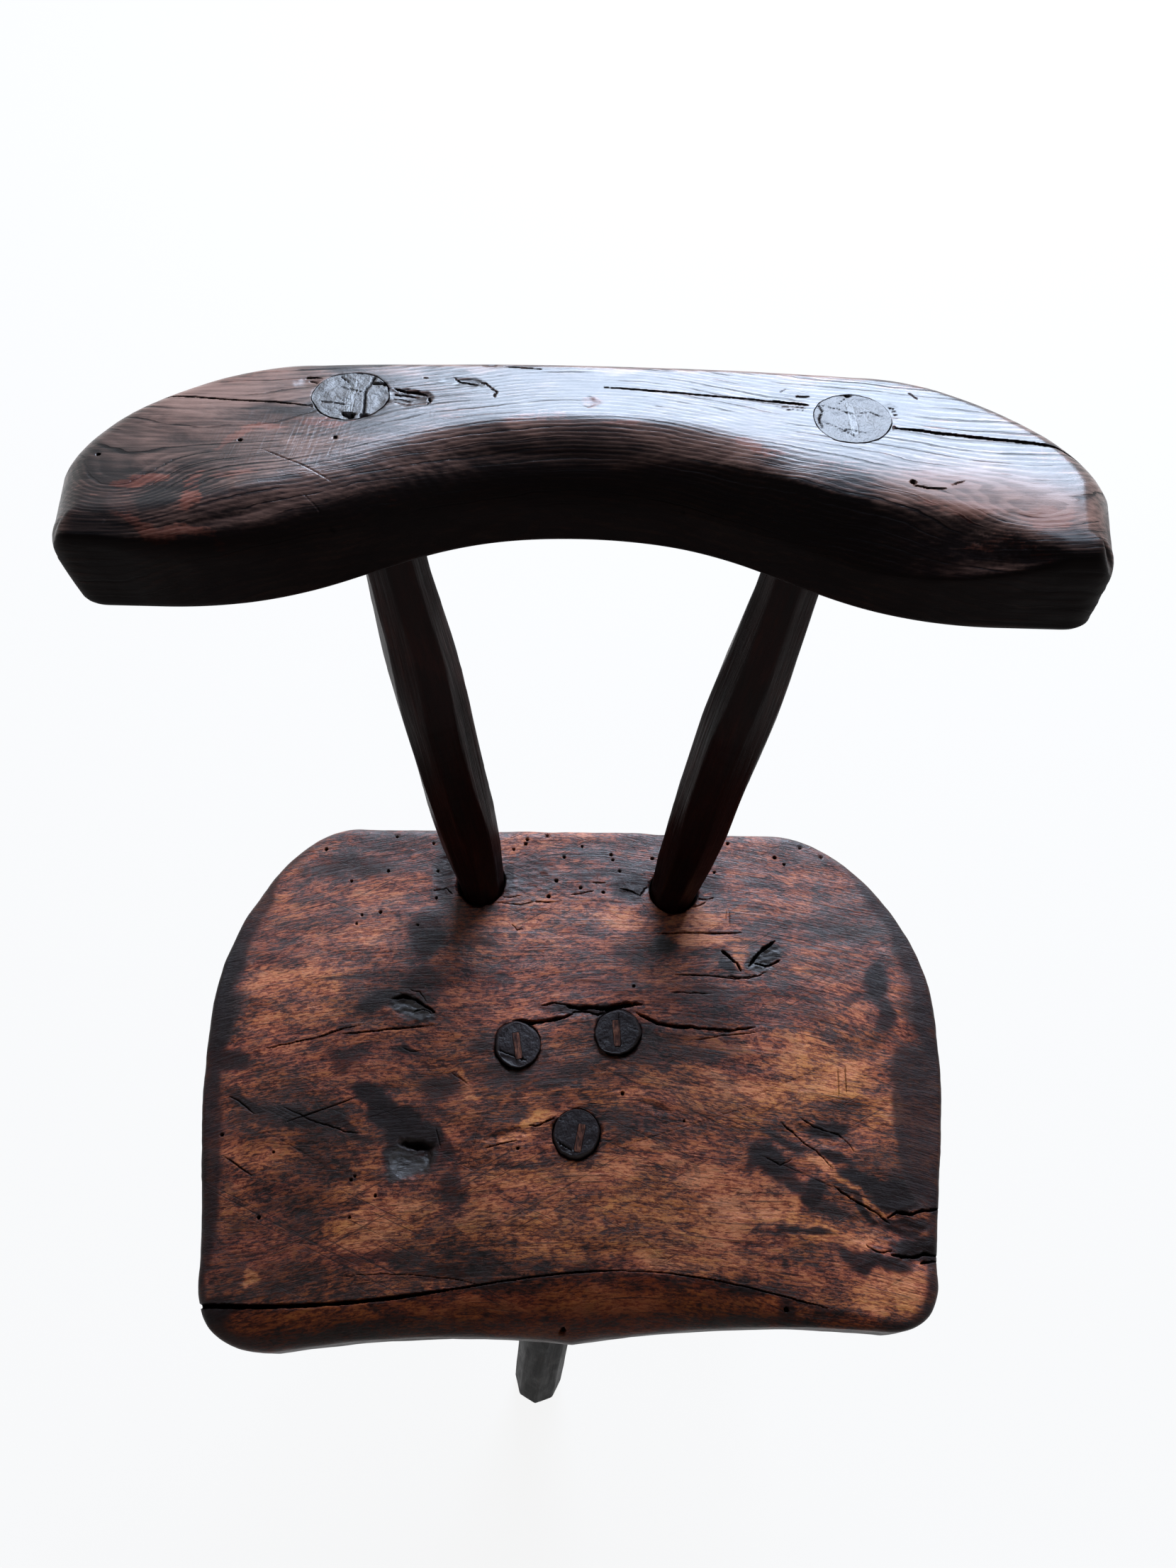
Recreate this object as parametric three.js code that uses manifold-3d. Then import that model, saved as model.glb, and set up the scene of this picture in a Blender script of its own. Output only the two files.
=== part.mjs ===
// A three-legged country chair of hewn hardwood. Three splayed legs and two back posts have
// tenons that go right through the plank seat or the crescent backrest, and each tenon is
// spread by a wedge. Nothing on it moves.
//
// Millimetres, +Z up, +Y towards the back, +X to the right as seen from in front of the chair.
// The origin is on the floor, under the middle of the whole chair.

import * as THREE from "three";
import Module from "manifold-3d";

const wasm = await Module();
wasm.setup();

const { clamp, degToRad, lerp, mapLinear, smoothstep } = THREE.MathUtils;

// Seat plank
const SEAT_HEIGHT = 430; // floor to the seat's top face
const SEAT_THICKNESS = 42;
const SEAT_WIDTH = 457; // at its widest
const SEAT_DEPTH = 314;
const SEAT_WIDEST = 128; // from the back edge to the widest place
const SEAT_FLARE = 0.4; // how soon the sides spread on their way from the front to there
const SEAT_BACK_WIDTH = 274; // nearly straight back edge between the two round back corners
const SEAT_BACK_SHIFT = -9; // the back edge lies off the seat's middle, to the left
const SEAT_BACK_SKEW = 5; // and its left end reaches this much farther back
const SEAT_FRONT_WIDTH = 424;
const SEAT_FRONT_SHIFT = -2; // the same two for the front edge
const SEAT_FRONT_SKEW = 12;
const SEAT_CORNER_LEFT = 45; // the two front corners
const SEAT_CORNER_RIGHT = 30;
const SEAT_SCOOP = 5; // how far each half of the front edge is hollowed
const SEAT_EDGE = 6; // rounding of the other edges
const SEAT_MIDDLE = new THREE.Vector2(-3.5, -26); // from the origin to the middle of the seat

// The worn front lip falls away in front of a long natural split, the shake
const LIP_LEFT = 25; // width of the lip at the seat's left side
const LIP_RIGHT = 2;
const LIP_BOW = 24.5; // how much wider it is near the middle
const LIP_SKEW = 1.3; // above 1, the widest place lies to the right of the middle
const LIP_FALL = 0.55; // how far the lip drops for each millimetre that it runs forward
const SHAKE_GAPE = 2.4; // opening of the shake at the seat's left side
const SHAKE_TIP = 0.8;
const SHAKE_DEPTH = 17;
const SHAKE_LENGTH = 240;

// Backrest: a crescent plank with square-cut ends that face forward
const REST_RISE = 317; // from the seat's top face to the middle of the plank
const REST_FRONT = new THREE.Vector2(3.5, 144); // from the origin to the middle of its front edge
const REST_WIDTH = 456;
const REST_THICKNESS = 46;
const REST_DEPTH = 75; // in the middle
const REST_SWEEP = 50; // how far the two end faces stand in front of the middle
const REST_END_FACE = 26;
const REST_END_SIDE = 30; // straight side behind each end face
const REST_END_TAPER = 5; // how far that side draws in towards the end face
const REST_HOLLOW_EASE = 0.5; // 0 makes the hollow's ends abrupt, 1 makes them slow
const REST_CORNER = 14;
const REST_BACK_WIDTH = 250; // nearly straight middle of the back edge
const REST_BACK_BOW = 5;
const REST_EDGE = 7; // rounding of the top edge
const REST_END_ROUND = 12; // how far the top edge rounds over inwards at the two ends
const REST_END_DROP = 22; // and downwards
const REST_EDGE_BELOW = 4;
const REST_BEVEL = 22; // rounding of the top front edge in the middle
const REST_TILT = degToRad(10); // leans back
const REST_YAW = degToRad(-1.8); // not quite square to the seat

// Legs: the head is where the axis leaves the seat's top face, from the middle of the seat,
// and the foot is where it meets the floor, from the origin. The wedge lies off the axis by
// its shift and is turned out of the line of Y.
const LEG_SPOTS = {
  leg_front: {
    head: new THREE.Vector2(2.3, -44),
    foot: new THREE.Vector2(-38, -199),
    wedge: { shift: new THREE.Vector2(2, -3.4), turn: degToRad(-11) },
  },
  leg_back_left: {
    head: new THREE.Vector2(-34.3, 10.3),
    foot: new THREE.Vector2(-148, 92),
    wedge: { shift: new THREE.Vector2(-0.6, -0.5), turn: degToRad(9) },
  },
  leg_back_right: {
    head: new THREE.Vector2(28.4, 18),
    foot: new THREE.Vector2(142, 98),
    wedge: { shift: new THREE.Vector2(-0.4, -0.4), turn: degToRad(4) },
  },
};
const LEG_RADIUS = 19.5;
const LEG_SHOULDER = 26; // length of the taper under the seat
const LEG_TENON_TOP = 13.8; // the tenon's radius at its end
const LEG_TENON_FOOT = 15.2; // and at the seat's underside
const LEG_FOOT_RADIUS = 19.5;
const LEG_FOOT_EDGE = 4; // rounding of the foot
const LEG_PROUD = 2.5; // how far the tenons stand above the seat

// Back posts: the place on the seat is measured from its middle and its back edge, and the
// place on the backrest's top face from the middle of its front edge
const POST_SPOTS = {
  back_post_left: { across: -61, fromBack: 38, rest: new THREE.Vector2(-105.5, 42) },
  back_post_right: { across: 66, fromBack: 43.5, rest: new THREE.Vector2(118.5, 34) },
};
const POST_TENON_FOOT = 14.2; // radius at the seat's underside
const POST_BASE = 16.6; // radius where it leaves the seat
const POST_BELLY = 20.3;
const POST_BELLY_HEIGHT = 150; // from the seat to the thickest place
const POST_NECK = 15.8; // radius under the backrest
const POST_NECK_LENGTH = 45;
const POST_TENON_TOP = 16.9; // its wedge spreads the upper tenon to this radius
const POST_PROUD = 0.8; // how far the upper tenon stands above the backrest
const POST_PROUD_BELOW = 1.6; // how far the lower tenon stands below the seat

// Wedges, driven across the grain of the plank that each tenon goes through
const WEDGE_DEPTH = 24;
const WEDGE_TIP = 1.2; // thickness at the thin end
const WEDGE_PROUD = 0.5;
const LEG_WEDGE_THICKNESS = 4.4;
const POST_WEDGE_THICKNESS = 3.6;
const WEDGE_SIDE_WOOD = 5.5; // wood of the tenon left beside each end of its wedge
const WEDGE_CENTRED = { shift: new THREE.Vector2(), turn: 0 }; // as in the posts

const FIT = 0.3; // clearance round every tenon and wedge
const TENON_CHAMFER = 0.8;

// Fineness of the faceted surfaces
const CURVE_STEPS = 9; // along each curve of an outline
const ROUNDOVER_STEPS = 4;
const HEWN_FACES = 8; // of a leg or post
const HEWN_FLATNESS = 0.95; // a face's distance from the axis, against its edges'
const BARREL_STEPS = 5; // along a post, from the seat to its belly and from there to its neck
const SHAKE_STEPS = 14;
const CUT_MARGIN = 12; // how far a cutter reaches past what it cuts

// A closed solid through rings of points that run anticlockwise as seen from above, lowest first.
function loft(rings) {
  const sides = rings[0].length;
  const index = [];
  for (let level = 0; level < rings.length - 1; level++) {
    for (let k = 0; k < sides; k++) {
      const a = level * sides + k;
      const b = level * sides + ((k + 1) % sides);
      index.push(a, b, b + sides, a, b + sides, a + sides);
    }
  }
  const top = (rings.length - 1) * sides;
  for (const [a, b, c] of THREE.ShapeUtils.triangulateShape(rings[0], [])) {
    index.push(c, b, a);
  }
  for (const [a, b, c] of THREE.ShapeUtils.triangulateShape(rings.at(-1), [])) {
    index.push(top + a, top + b, top + c);
  }
  return new THREE.BufferGeometry().setFromPoints(rings.flat()).setIndex(index);
}

function toManifold(geometry) {
  const vertProperties = geometry.attributes.position.array;
  const triVerts = new Uint32Array(geometry.index.array);
  return new wasm.Manifold(new wasm.Mesh({ numProp: 3, vertProperties, triVerts }));
}

// The geometry with the cutters taken out of it.
function cut(geometry, cutters) {
  const solid = cutters.reduce((rest, tool) => rest.subtract(toManifold(tool)), toManifold(geometry));
  const { vertProperties, triVerts } = solid.getMesh();
  const made = new THREE.BufferGeometry();
  made.setAttribute("position", new THREE.BufferAttribute(vertProperties, 3));
  made.setIndex(new THREE.BufferAttribute(triVerts, 1));
  return made;
}

function mesh(name, geometry, color, roughness) {
  geometry.computeVertexNormals();
  const material = new THREE.MeshStandardMaterial({ color, roughness, metalness: 0 });
  const made = new THREE.Mesh(geometry, material);
  made.name = name;
  return made;
}

// Points of a closed path that runs anticlockwise, each with its outward normal.
function outlineOf(path) {
  const points = path.getPoints(CURVE_STEPS).slice(0, -1);
  return points.map((point, k) => {
    const before = point.clone().sub(points.at(k - 1)).normalize();
    const after = points[(k + 1) % points.length].clone().sub(point).normalize();
    const along = before.add(after).normalize();
    return { point, normal: new THREE.Vector2(along.y, -along.x) };
  });
}

// A plank with that outline, its underside at z = 0. rim(point, normal) gives how far the
// rounding of the top edge runs inwards and how far it drops.
function plank(path, thickness, edgeBelow, rim) {
  const outline = outlineOf(path);
  const ring = (insetOf, heightOf) =>
    outline.map(({ point, normal }) => {
      const { run, drop } = rim(point, normal);
      const place = point.clone().addScaledVector(normal, -insetOf(run));
      return new THREE.Vector3(place.x, place.y, heightOf(drop));
    });
  const turns = Array.from({ length: ROUNDOVER_STEPS + 1 }, (_, k) => {
    return (k / ROUNDOVER_STEPS) * (Math.PI / 2);
  });
  const lower = turns.map((turn) => {
    return ring(() => edgeBelow * (1 - Math.sin(turn)), () => edgeBelow * (1 - Math.cos(turn)));
  });
  const upper = turns.map((turn) => {
    return ring((run) => run * (1 - Math.cos(turn)), (drop) => thickness - drop * (1 - Math.sin(turn)));
  });
  return loft([...lower, ...upper]);
}

// Level section of a stick that slants by slant.x and slant.y for each unit of height. The
// stick's own hewn section is drawn out along the slant, so that it stays round.
function section(slant, height, radius) {
  const stretch = Math.hypot(1, slant.length()) - 1;
  const lean = slant.clone().normalize();
  const corners = HEWN_FACES * 2;
  return Array.from({ length: corners }, (_, k) => {
    const turn = (k / corners) * 2 * Math.PI;
    const reach = k % 2 ? radius * HEWN_FLATNESS : radius;
    const out = new THREE.Vector2(Math.cos(turn), Math.sin(turn)).multiplyScalar(reach);
    out.addScaledVector(lean, out.dot(lean) * stretch);
    out.addScaledVector(slant, height);
    return new THREE.Vector3(out.x, out.y, height);
  });
}

// Slides the points of a ring along the slant until they lie in the plane.
function slideTo(plane, slant, ring) {
  const along = new THREE.Vector3(slant.x, slant.y, 1);
  return ring.map((point) => {
    const travel = -plane.distanceToPoint(point) / plane.normal.dot(along);
    return point.clone().addScaledVector(along, travel);
  });
}

function raised(plane, distance) {
  return new THREE.Plane(plane.normal.clone(), plane.constant - distance);
}

// A wedge in the end of a stick, with its width along Y before its turn. The end lies in the
// plane `end`, and `way` is 1 for a wedge driven down from above or -1 from below.
function wedge({ slant, end, way, thickness, width, spot }, grow = 0) {
  const along = new THREE.Vector3(slant.x, slant.y, 1);
  const endHeight = -end.constant / end.normal.dot(along);
  const corners = [[-1, -1], [1, -1], [1, 1], [-1, 1]];
  const axis = new THREE.Vector2();
  const at = (depth) => {
    const height = endHeight - way * depth;
    const halfX = lerp(thickness, WEDGE_TIP, depth / WEDGE_DEPTH) / 2 + grow;
    const halfY = width / 2 + grow;
    return corners.map(([x, y]) => {
      const out = new THREE.Vector2(x * halfX, y * halfY).rotateAround(axis, spot.turn);
      out.add(spot.shift).addScaledVector(slant, height);
      return new THREE.Vector3(out.x, out.y, height);
    });
  };
  const tip = at(WEDGE_DEPTH + grow);
  const proud = grow ? CUT_MARGIN : WEDGE_PROUD;
  const head = slideTo(raised(end, proud), slant, at(grow ? -CUT_MARGIN : 0));
  return loft(way > 0 ? [tip, head] : [head, tip]);
}

// The line of the seat's front edge, before its two scoops, y from the seat's middle.
function frontLine(x) {
  return (SEAT_FRONT_SKEW * (x - SEAT_FRONT_SHIFT)) / SEAT_FRONT_WIDTH - SEAT_DEPTH / 2;
}

// Outline of the seat about its own middle, from the left end of the front edge.
function seatPath() {
  const side = SEAT_WIDTH / 2;
  const end = SEAT_DEPTH / 2;
  const widest = end - SEAT_WIDEST;
  const left = SEAT_FRONT_SHIFT - SEAT_FRONT_WIDTH / 2;
  const right = SEAT_FRONT_SHIFT + SEAT_FRONT_WIDTH / 2;
  const backLeft = SEAT_BACK_SHIFT - SEAT_BACK_WIDTH / 2;
  const backRight = SEAT_BACK_SHIFT + SEAT_BACK_WIDTH / 2;
  const endLeft = end + SEAT_BACK_SKEW / 2;
  const endRight = end - SEAT_BACK_SKEW / 2;
  const start = left + SEAT_CORNER_LEFT;
  const stop = right - SEAT_CORNER_RIGHT;
  const swell = (widest + end) / 3;
  const scoop = (x) => frontLine(x) + 2 * SEAT_SCOOP;

  const path = new THREE.Path().moveTo(start, frontLine(start));
  path.quadraticCurveTo(start / 2, scoop(start / 2), 0, frontLine(0));
  path.quadraticCurveTo(stop / 2, scoop(stop / 2), stop, frontLine(stop));
  const sideRight = frontLine(right) + SEAT_CORNER_RIGHT;
  path.quadraticCurveTo(right, frontLine(right), right, sideRight);
  const flareRight = lerp(right, side, SEAT_FLARE);
  path.bezierCurveTo(flareRight, sideRight + swell, side, widest - swell, side, widest);
  path.bezierCurveTo(side, (widest + end) / 2, (side + backRight) / 2, endRight, backRight, endRight);
  path.lineTo(backLeft, endLeft);
  path.bezierCurveTo((backLeft - side) / 2, endLeft, -side, (widest + end) / 2, -side, widest);
  const sideLeft = frontLine(left) + SEAT_CORNER_LEFT;
  const flareLeft = lerp(left, -side, SEAT_FLARE);
  path.bezierCurveTo(-side, widest - swell, flareLeft, sideLeft + swell, left, sideLeft);
  path.quadraticCurveTo(left, frontLine(left), start, frontLine(start));
  return path;
}

// How far the shake lies behind the line of the front edge.
function lipWidth(x) {
  const share = clamp((x - SEAT_FRONT_SHIFT) / SEAT_FRONT_WIDTH + 1 / 2, 0, 1);
  return lerp(LIP_LEFT, LIP_RIGHT, share) + LIP_BOW * Math.sin(Math.PI * share ** LIP_SKEW) ** 2;
}

// The seat's top edge is worn into the lip in front of the shake and just eased elsewhere.
function seatRim(point) {
  const toShake = frontLine(point.x) + lipWidth(point.x) - point.y;
  return { run: Math.max(SEAT_EDGE, toShake), drop: Math.max(SEAT_EDGE, toShake * LIP_FALL) };
}

// The shake as a thin upright blade that tapers from the seat's left side to its tip.
function shakeCutter() {
  const start = SEAT_FRONT_SHIFT - SEAT_FRONT_WIDTH / 2 - CUT_MARGIN;
  const edge = (side) =>
    Array.from({ length: SHAKE_STEPS + 1 }, (_, k) => {
      const share = k / SHAKE_STEPS;
      const x = start + share * (SHAKE_LENGTH + CUT_MARGIN);
      const gape = lerp(SHAKE_GAPE, SHAKE_TIP, share);
      return new THREE.Vector2(x, frontLine(x) + lipWidth(x) + (side * gape) / 2);
    });
  const blade = [...edge(-1), ...edge(1).reverse()];
  const at = (height) => blade.map(({ x, y }) => new THREE.Vector3(x, y, height));
  return loft([at(SEAT_THICKNESS - SHAKE_DEPTH), at(SEAT_THICKNESS + CUT_MARGIN)]);
}

// Half the length of the backrest's hollow front edge
const REST_HOLLOW = REST_WIDTH / 2 - REST_END_TAPER - REST_CORNER - REST_END_FACE;

// Outline of the backrest about the middle of its front edge, from there to the right.
function restPath() {
  const side = REST_WIDTH / 2;
  const back = REST_BACK_WIDTH / 2;
  const front = -REST_SWEEP;
  const shoulder = front + REST_CORNER + REST_END_SIDE;
  const bowed = REST_DEPTH - REST_BACK_BOW;
  const turn = (shoulder + bowed) / 2;
  const end = side - REST_END_TAPER;
  const easeOut = REST_HOLLOW * REST_HOLLOW_EASE;
  const easeIn = REST_HOLLOW * (1 - REST_HOLLOW_EASE);

  const path = new THREE.Path().moveTo(0, 0);
  path.bezierCurveTo(easeOut, 0, easeIn, front, REST_HOLLOW, front);
  path.lineTo(end - REST_CORNER, front);
  path.quadraticCurveTo(end, front, end, front + REST_CORNER);
  path.lineTo(side, shoulder);
  path.bezierCurveTo(side, turn, (side + back) / 2, bowed, back, bowed);
  path.quadraticCurveTo(back / 2, REST_DEPTH, 0, REST_DEPTH);
  path.quadraticCurveTo(-back / 2, REST_DEPTH, -back, bowed);
  path.bezierCurveTo(-(side + back) / 2, bowed, -side, turn, -side, shoulder);
  path.lineTo(-end, front + REST_CORNER);
  path.quadraticCurveTo(-end, front, REST_CORNER - end, front);
  path.lineTo(-REST_HOLLOW, front);
  path.bezierCurveTo(-easeIn, front, -easeOut, 0, 0, 0);
  return path;
}

// The top edge is eased all round. It is bevelled where the sitter's back leans on it, and worn
// round at the two ends.
function restRim(point, normal) {
  const facing = smoothstep(-normal.y, 0, 1);
  const inHollow = 1 - smoothstep(Math.abs(point.x), 0, REST_HOLLOW);
  const atEnd = smoothstep(Math.abs(normal.x), 0, 1);
  const edge = lerp(REST_EDGE, REST_BEVEL, facing * inHollow);
  return { run: lerp(edge, REST_END_ROUND, atEnd), drop: lerp(edge, REST_END_DROP, atEnd) };
}

// Placement of the backrest's plank, whose own origin is the middle of its front edge
const restPlace = new THREE.Object3D();
restPlace.position.set(REST_FRONT.x, REST_FRONT.y, SEAT_HEIGHT + REST_RISE);
restPlace.rotation.set(-REST_TILT, 0, REST_YAW, "ZXY");
restPlace.updateMatrix();
const restTop = new THREE.Plane(new THREE.Vector3(0, 0, 1), -REST_THICKNESS / 2);
const restUnderside = raised(restTop, -REST_THICKNESS);

const seatPlace = new THREE.Vector3(SEAT_MIDDLE.x, SEAT_MIDDLE.y, SEAT_HEIGHT - SEAT_THICKNESS);
const seatHoles = [shakeCutter()];
const restHoles = [];
const sticks = [];

// A leg stands at its foot, on the floor, and its tenon goes through the seat.
function leg(name, { head, foot, wedge: spot }) {
  const top = SEAT_HEIGHT + LEG_PROUD;
  const underside = SEAT_HEIGHT - SEAT_THICKNESS;
  const slant = head.clone().add(SEAT_MIDDLE).sub(foot).divideScalar(SEAT_HEIGHT);
  const tenonAt = (height) => mapLinear(height, underside, top, LEG_TENON_FOOT, LEG_TENON_TOP);
  const rings = [];
  for (let step = 0; step <= ROUNDOVER_STEPS; step++) {
    const turn = (step / ROUNDOVER_STEPS) * (Math.PI / 2);
    const height = LEG_FOOT_EDGE * (1 - Math.cos(turn));
    rings.push(section(slant, height, LEG_FOOT_RADIUS - LEG_FOOT_EDGE * (1 - Math.sin(turn))));
  }
  rings.push(section(slant, underside / 2, LEG_RADIUS));
  rings.push(section(slant, underside - LEG_SHOULDER, LEG_RADIUS));
  rings.push(section(slant, underside, LEG_TENON_FOOT));
  rings.push(section(slant, top - TENON_CHAMFER, tenonAt(top - TENON_CHAMFER)));
  rings.push(section(slant, top, LEG_TENON_TOP - TENON_CHAMFER));

  const bore = [underside - CUT_MARGIN, SEAT_HEIGHT + CUT_MARGIN].map((height) => {
    return section(slant, height, tenonAt(height) + FIT);
  });
  seatHoles.push(loft(bore).translate(foot.x - seatPlace.x, foot.y - seatPlace.y, -seatPlace.z));

  const end = new THREE.Plane(new THREE.Vector3(0, 0, 1), -top);
  const width = 2 * (LEG_TENON_TOP - WEDGE_SIDE_WOOD);
  const driven = { slant, end, way: 1, thickness: LEG_WEDGE_THICKNESS, width, spot };
  const group = new THREE.Group();
  group.position.set(foot.x, foot.y, 0);
  group.add(mesh(name, cut(loft(rings), [wedge(driven, FIT)]), 0x6b5848, 0.62));
  group.add(mesh(`${name}_wedge`, wedge(driven), 0x8a5c34, 0.7));
  sticks.push(group);
}

// A post's own origin is where its axis leaves the seat's top face.
function post(name, { across, fromBack, rest }) {
  const backEdge = SEAT_MIDDLE.y + SEAT_DEPTH / 2;
  const base = new THREE.Vector3(SEAT_MIDDLE.x + across, backEdge - fromBack, SEAT_HEIGHT);
  const toRest = new THREE.Matrix4().setPosition(base).premultiply(restPlace.matrix.clone().invert());
  const fromRest = toRest.clone().invert();
  const topPlane = restTop.clone().applyMatrix4(fromRest);
  const undersidePlane = restUnderside.clone().applyMatrix4(fromRest);
  const reach = new THREE.Vector3(rest.x, rest.y, REST_THICKNESS / 2).applyMatrix4(fromRest);
  const slant = new THREE.Vector2(reach.x, reach.y).divideScalar(reach.z);

  const neckEnd = slideTo(undersidePlane, slant, section(slant, reach.z, POST_NECK + FIT));
  const neck = Math.min(...neckEnd.map((point) => point.z));
  const neckStart = neck - POST_NECK_LENGTH;
  const flareAt = (height) => mapLinear(height, neck, reach.z, POST_NECK, POST_TENON_TOP);
  const bottom = -SEAT_THICKNESS - POST_PROUD_BELOW;
  const tenonAt = (height) => mapLinear(height, -SEAT_THICKNESS, 0, POST_TENON_FOOT, POST_BASE);
  const rings = [
    section(slant, bottom, tenonAt(bottom) - TENON_CHAMFER),
    section(slant, bottom + TENON_CHAMFER, tenonAt(bottom + TENON_CHAMFER)),
  ];
  for (let step = 0; step <= BARREL_STEPS; step++) {
    const share = step / BARREL_STEPS;
    const radius = lerp(POST_BASE, POST_BELLY, Math.sin((share * Math.PI) / 2));
    rings.push(section(slant, share * POST_BELLY_HEIGHT, radius));
  }
  for (let step = 1; step <= BARREL_STEPS; step++) {
    const share = step / BARREL_STEPS;
    const radius = lerp(POST_BELLY, POST_NECK, smoothstep(share, 0, 1));
    rings.push(section(slant, lerp(POST_BELLY_HEIGHT, neckStart, share), radius));
  }
  rings.push(section(slant, neck, POST_NECK));
  const spread = section(slant, reach.z, POST_TENON_TOP);
  const eased = section(slant, reach.z, POST_TENON_TOP - TENON_CHAMFER);
  rings.push(slideTo(raised(topPlane, POST_PROUD - TENON_CHAMFER), slant, spread));
  rings.push(slideTo(raised(topPlane, POST_PROUD), slant, eased));

  const lowerBore = [-SEAT_THICKNESS - CUT_MARGIN, CUT_MARGIN].map((height) => {
    return section(slant, height, tenonAt(height) + FIT);
  });
  const toSeat = base.clone().sub(seatPlace);
  seatHoles.push(loft(lowerBore).translate(toSeat.x, toSeat.y, toSeat.z));
  const upperBore = [neck, reach.z].map((height) => section(slant, height, flareAt(height) + FIT));
  upperBore.unshift(section(slant, neck - CUT_MARGIN, POST_NECK + FIT));
  upperBore.push(section(slant, reach.z + CUT_MARGIN, POST_TENON_TOP + FIT));
  restHoles.push(loft(upperBore).applyMatrix4(toRest));

  const alike = { slant, thickness: POST_WEDGE_THICKNESS, spot: WEDGE_CENTRED };
  const upper = {
    ...alike,
    way: 1,
    end: raised(topPlane, POST_PROUD),
    width: 2 * (POST_TENON_TOP - WEDGE_SIDE_WOOD),
  };
  const lower = {
    ...alike,
    way: -1,
    end: new THREE.Plane(new THREE.Vector3(0, 0, -1), bottom),
    width: 2 * (POST_TENON_FOOT - WEDGE_SIDE_WOOD),
  };
  const group = new THREE.Group();
  group.position.copy(base);
  const kerfs = [wedge(upper, FIT), wedge(lower, FIT)];
  group.add(mesh(name, cut(loft(rings), kerfs), 0x3b251c, 0.5));
  group.add(mesh(`${name}_top_wedge`, wedge(upper), 0x8a5c34, 0.7));
  group.add(mesh(`${name}_bottom_wedge`, wedge(lower), 0x8a5c34, 0.7));
  sticks.push(group);
}

for (const [name, spot] of Object.entries(LEG_SPOTS)) leg(name, spot);
for (const [name, spot] of Object.entries(POST_SPOTS)) post(name, spot);

const seatPlank = plank(seatPath(), SEAT_THICKNESS, SEAT_EDGE, seatRim);
const seat = mesh("seat", cut(seatPlank, seatHoles), 0x5b3b25, 0.45);
seat.position.copy(seatPlace);

const restPlank = plank(restPath(), REST_THICKNESS, REST_EDGE_BELOW, restRim);
restPlank.translate(0, 0, -REST_THICKNESS / 2);
const backrest = mesh("backrest", cut(restPlank, restHoles), 0x432a1f, 0.45);
backrest.position.copy(restPlace.position);
backrest.rotation.copy(restPlace.rotation);

const chair = new THREE.Group();
chair.name = "three_legged_chair";
chair.add(seat, backrest, ...sticks);

export default chair;
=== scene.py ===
"""Three-legged country chair: dense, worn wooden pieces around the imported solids.

Shapes are worked out in millimetres, +Z up, in the frame of the solids, and become metres when
a mesh is made. The seat's grain runs along X, the backrest's along its own length, and each
stick's along its axis.
"""

import itertools
import math

import bpy
import numpy as np
from mathutils import Matrix, Vector
from mathutils.geometry import delaunay_2d_cdt
from mathutils.kdtree import KDTree


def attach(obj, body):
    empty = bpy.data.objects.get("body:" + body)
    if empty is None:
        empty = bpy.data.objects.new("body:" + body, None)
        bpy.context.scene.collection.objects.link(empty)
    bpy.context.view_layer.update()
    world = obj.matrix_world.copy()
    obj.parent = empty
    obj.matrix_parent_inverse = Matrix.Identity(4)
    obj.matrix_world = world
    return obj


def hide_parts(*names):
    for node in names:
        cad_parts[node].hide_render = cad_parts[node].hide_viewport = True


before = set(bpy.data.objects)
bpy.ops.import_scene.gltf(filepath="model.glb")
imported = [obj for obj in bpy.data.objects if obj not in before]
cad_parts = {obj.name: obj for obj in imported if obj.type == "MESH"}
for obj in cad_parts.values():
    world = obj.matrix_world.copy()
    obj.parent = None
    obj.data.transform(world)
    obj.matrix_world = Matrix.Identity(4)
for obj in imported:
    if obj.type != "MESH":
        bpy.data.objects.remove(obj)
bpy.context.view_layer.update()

MM = 0.001

# Seat, as in the solids
SEAT_HEIGHT = 430.0
SEAT_THICKNESS = 42.0
SEAT_WIDTH = 457.0
SEAT_DEPTH = 314.0
SEAT_WIDEST = 128.0
SEAT_FLARE = 0.4
SEAT_BACK_WIDTH = 274.0
SEAT_BACK_SHIFT = -9.0
SEAT_BACK_SKEW = 5.0
SEAT_FRONT_WIDTH = 424.0
SEAT_FRONT_SHIFT = -2.0
SEAT_FRONT_SKEW = 12.0
SEAT_CORNER_LEFT = 45.0
SEAT_CORNER_RIGHT = 30.0
SEAT_SCOOP = 5.0
SEAT_EDGE = 6.0
SEAT_MIDDLE = np.array([-3.5, -26.0])
LIP_LEFT = 25.0
LIP_RIGHT = 2.0
LIP_BOW = 24.5
LIP_SKEW = 1.3
LIP_FALL = 0.55
SHAKE_DEPTH = 17.0

# Backrest, as in the solids
REST_RISE = 317.0
REST_FRONT = np.array([3.5, 144.0])
REST_WIDTH = 456.0
REST_THICKNESS = 46.0
REST_DEPTH = 75.0
REST_SWEEP = 50.0
REST_END_FACE = 26.0
REST_END_SIDE = 30.0
REST_END_TAPER = 5.0
REST_HOLLOW_EASE = 0.5
REST_CORNER = 14.0
REST_BACK_WIDTH = 250.0
REST_BACK_BOW = 5.0
REST_EDGE = 7.0
REST_END_ROUND = 16.0
REST_END_DROP = 22.0
REST_EDGE_BELOW = 4.0
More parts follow.
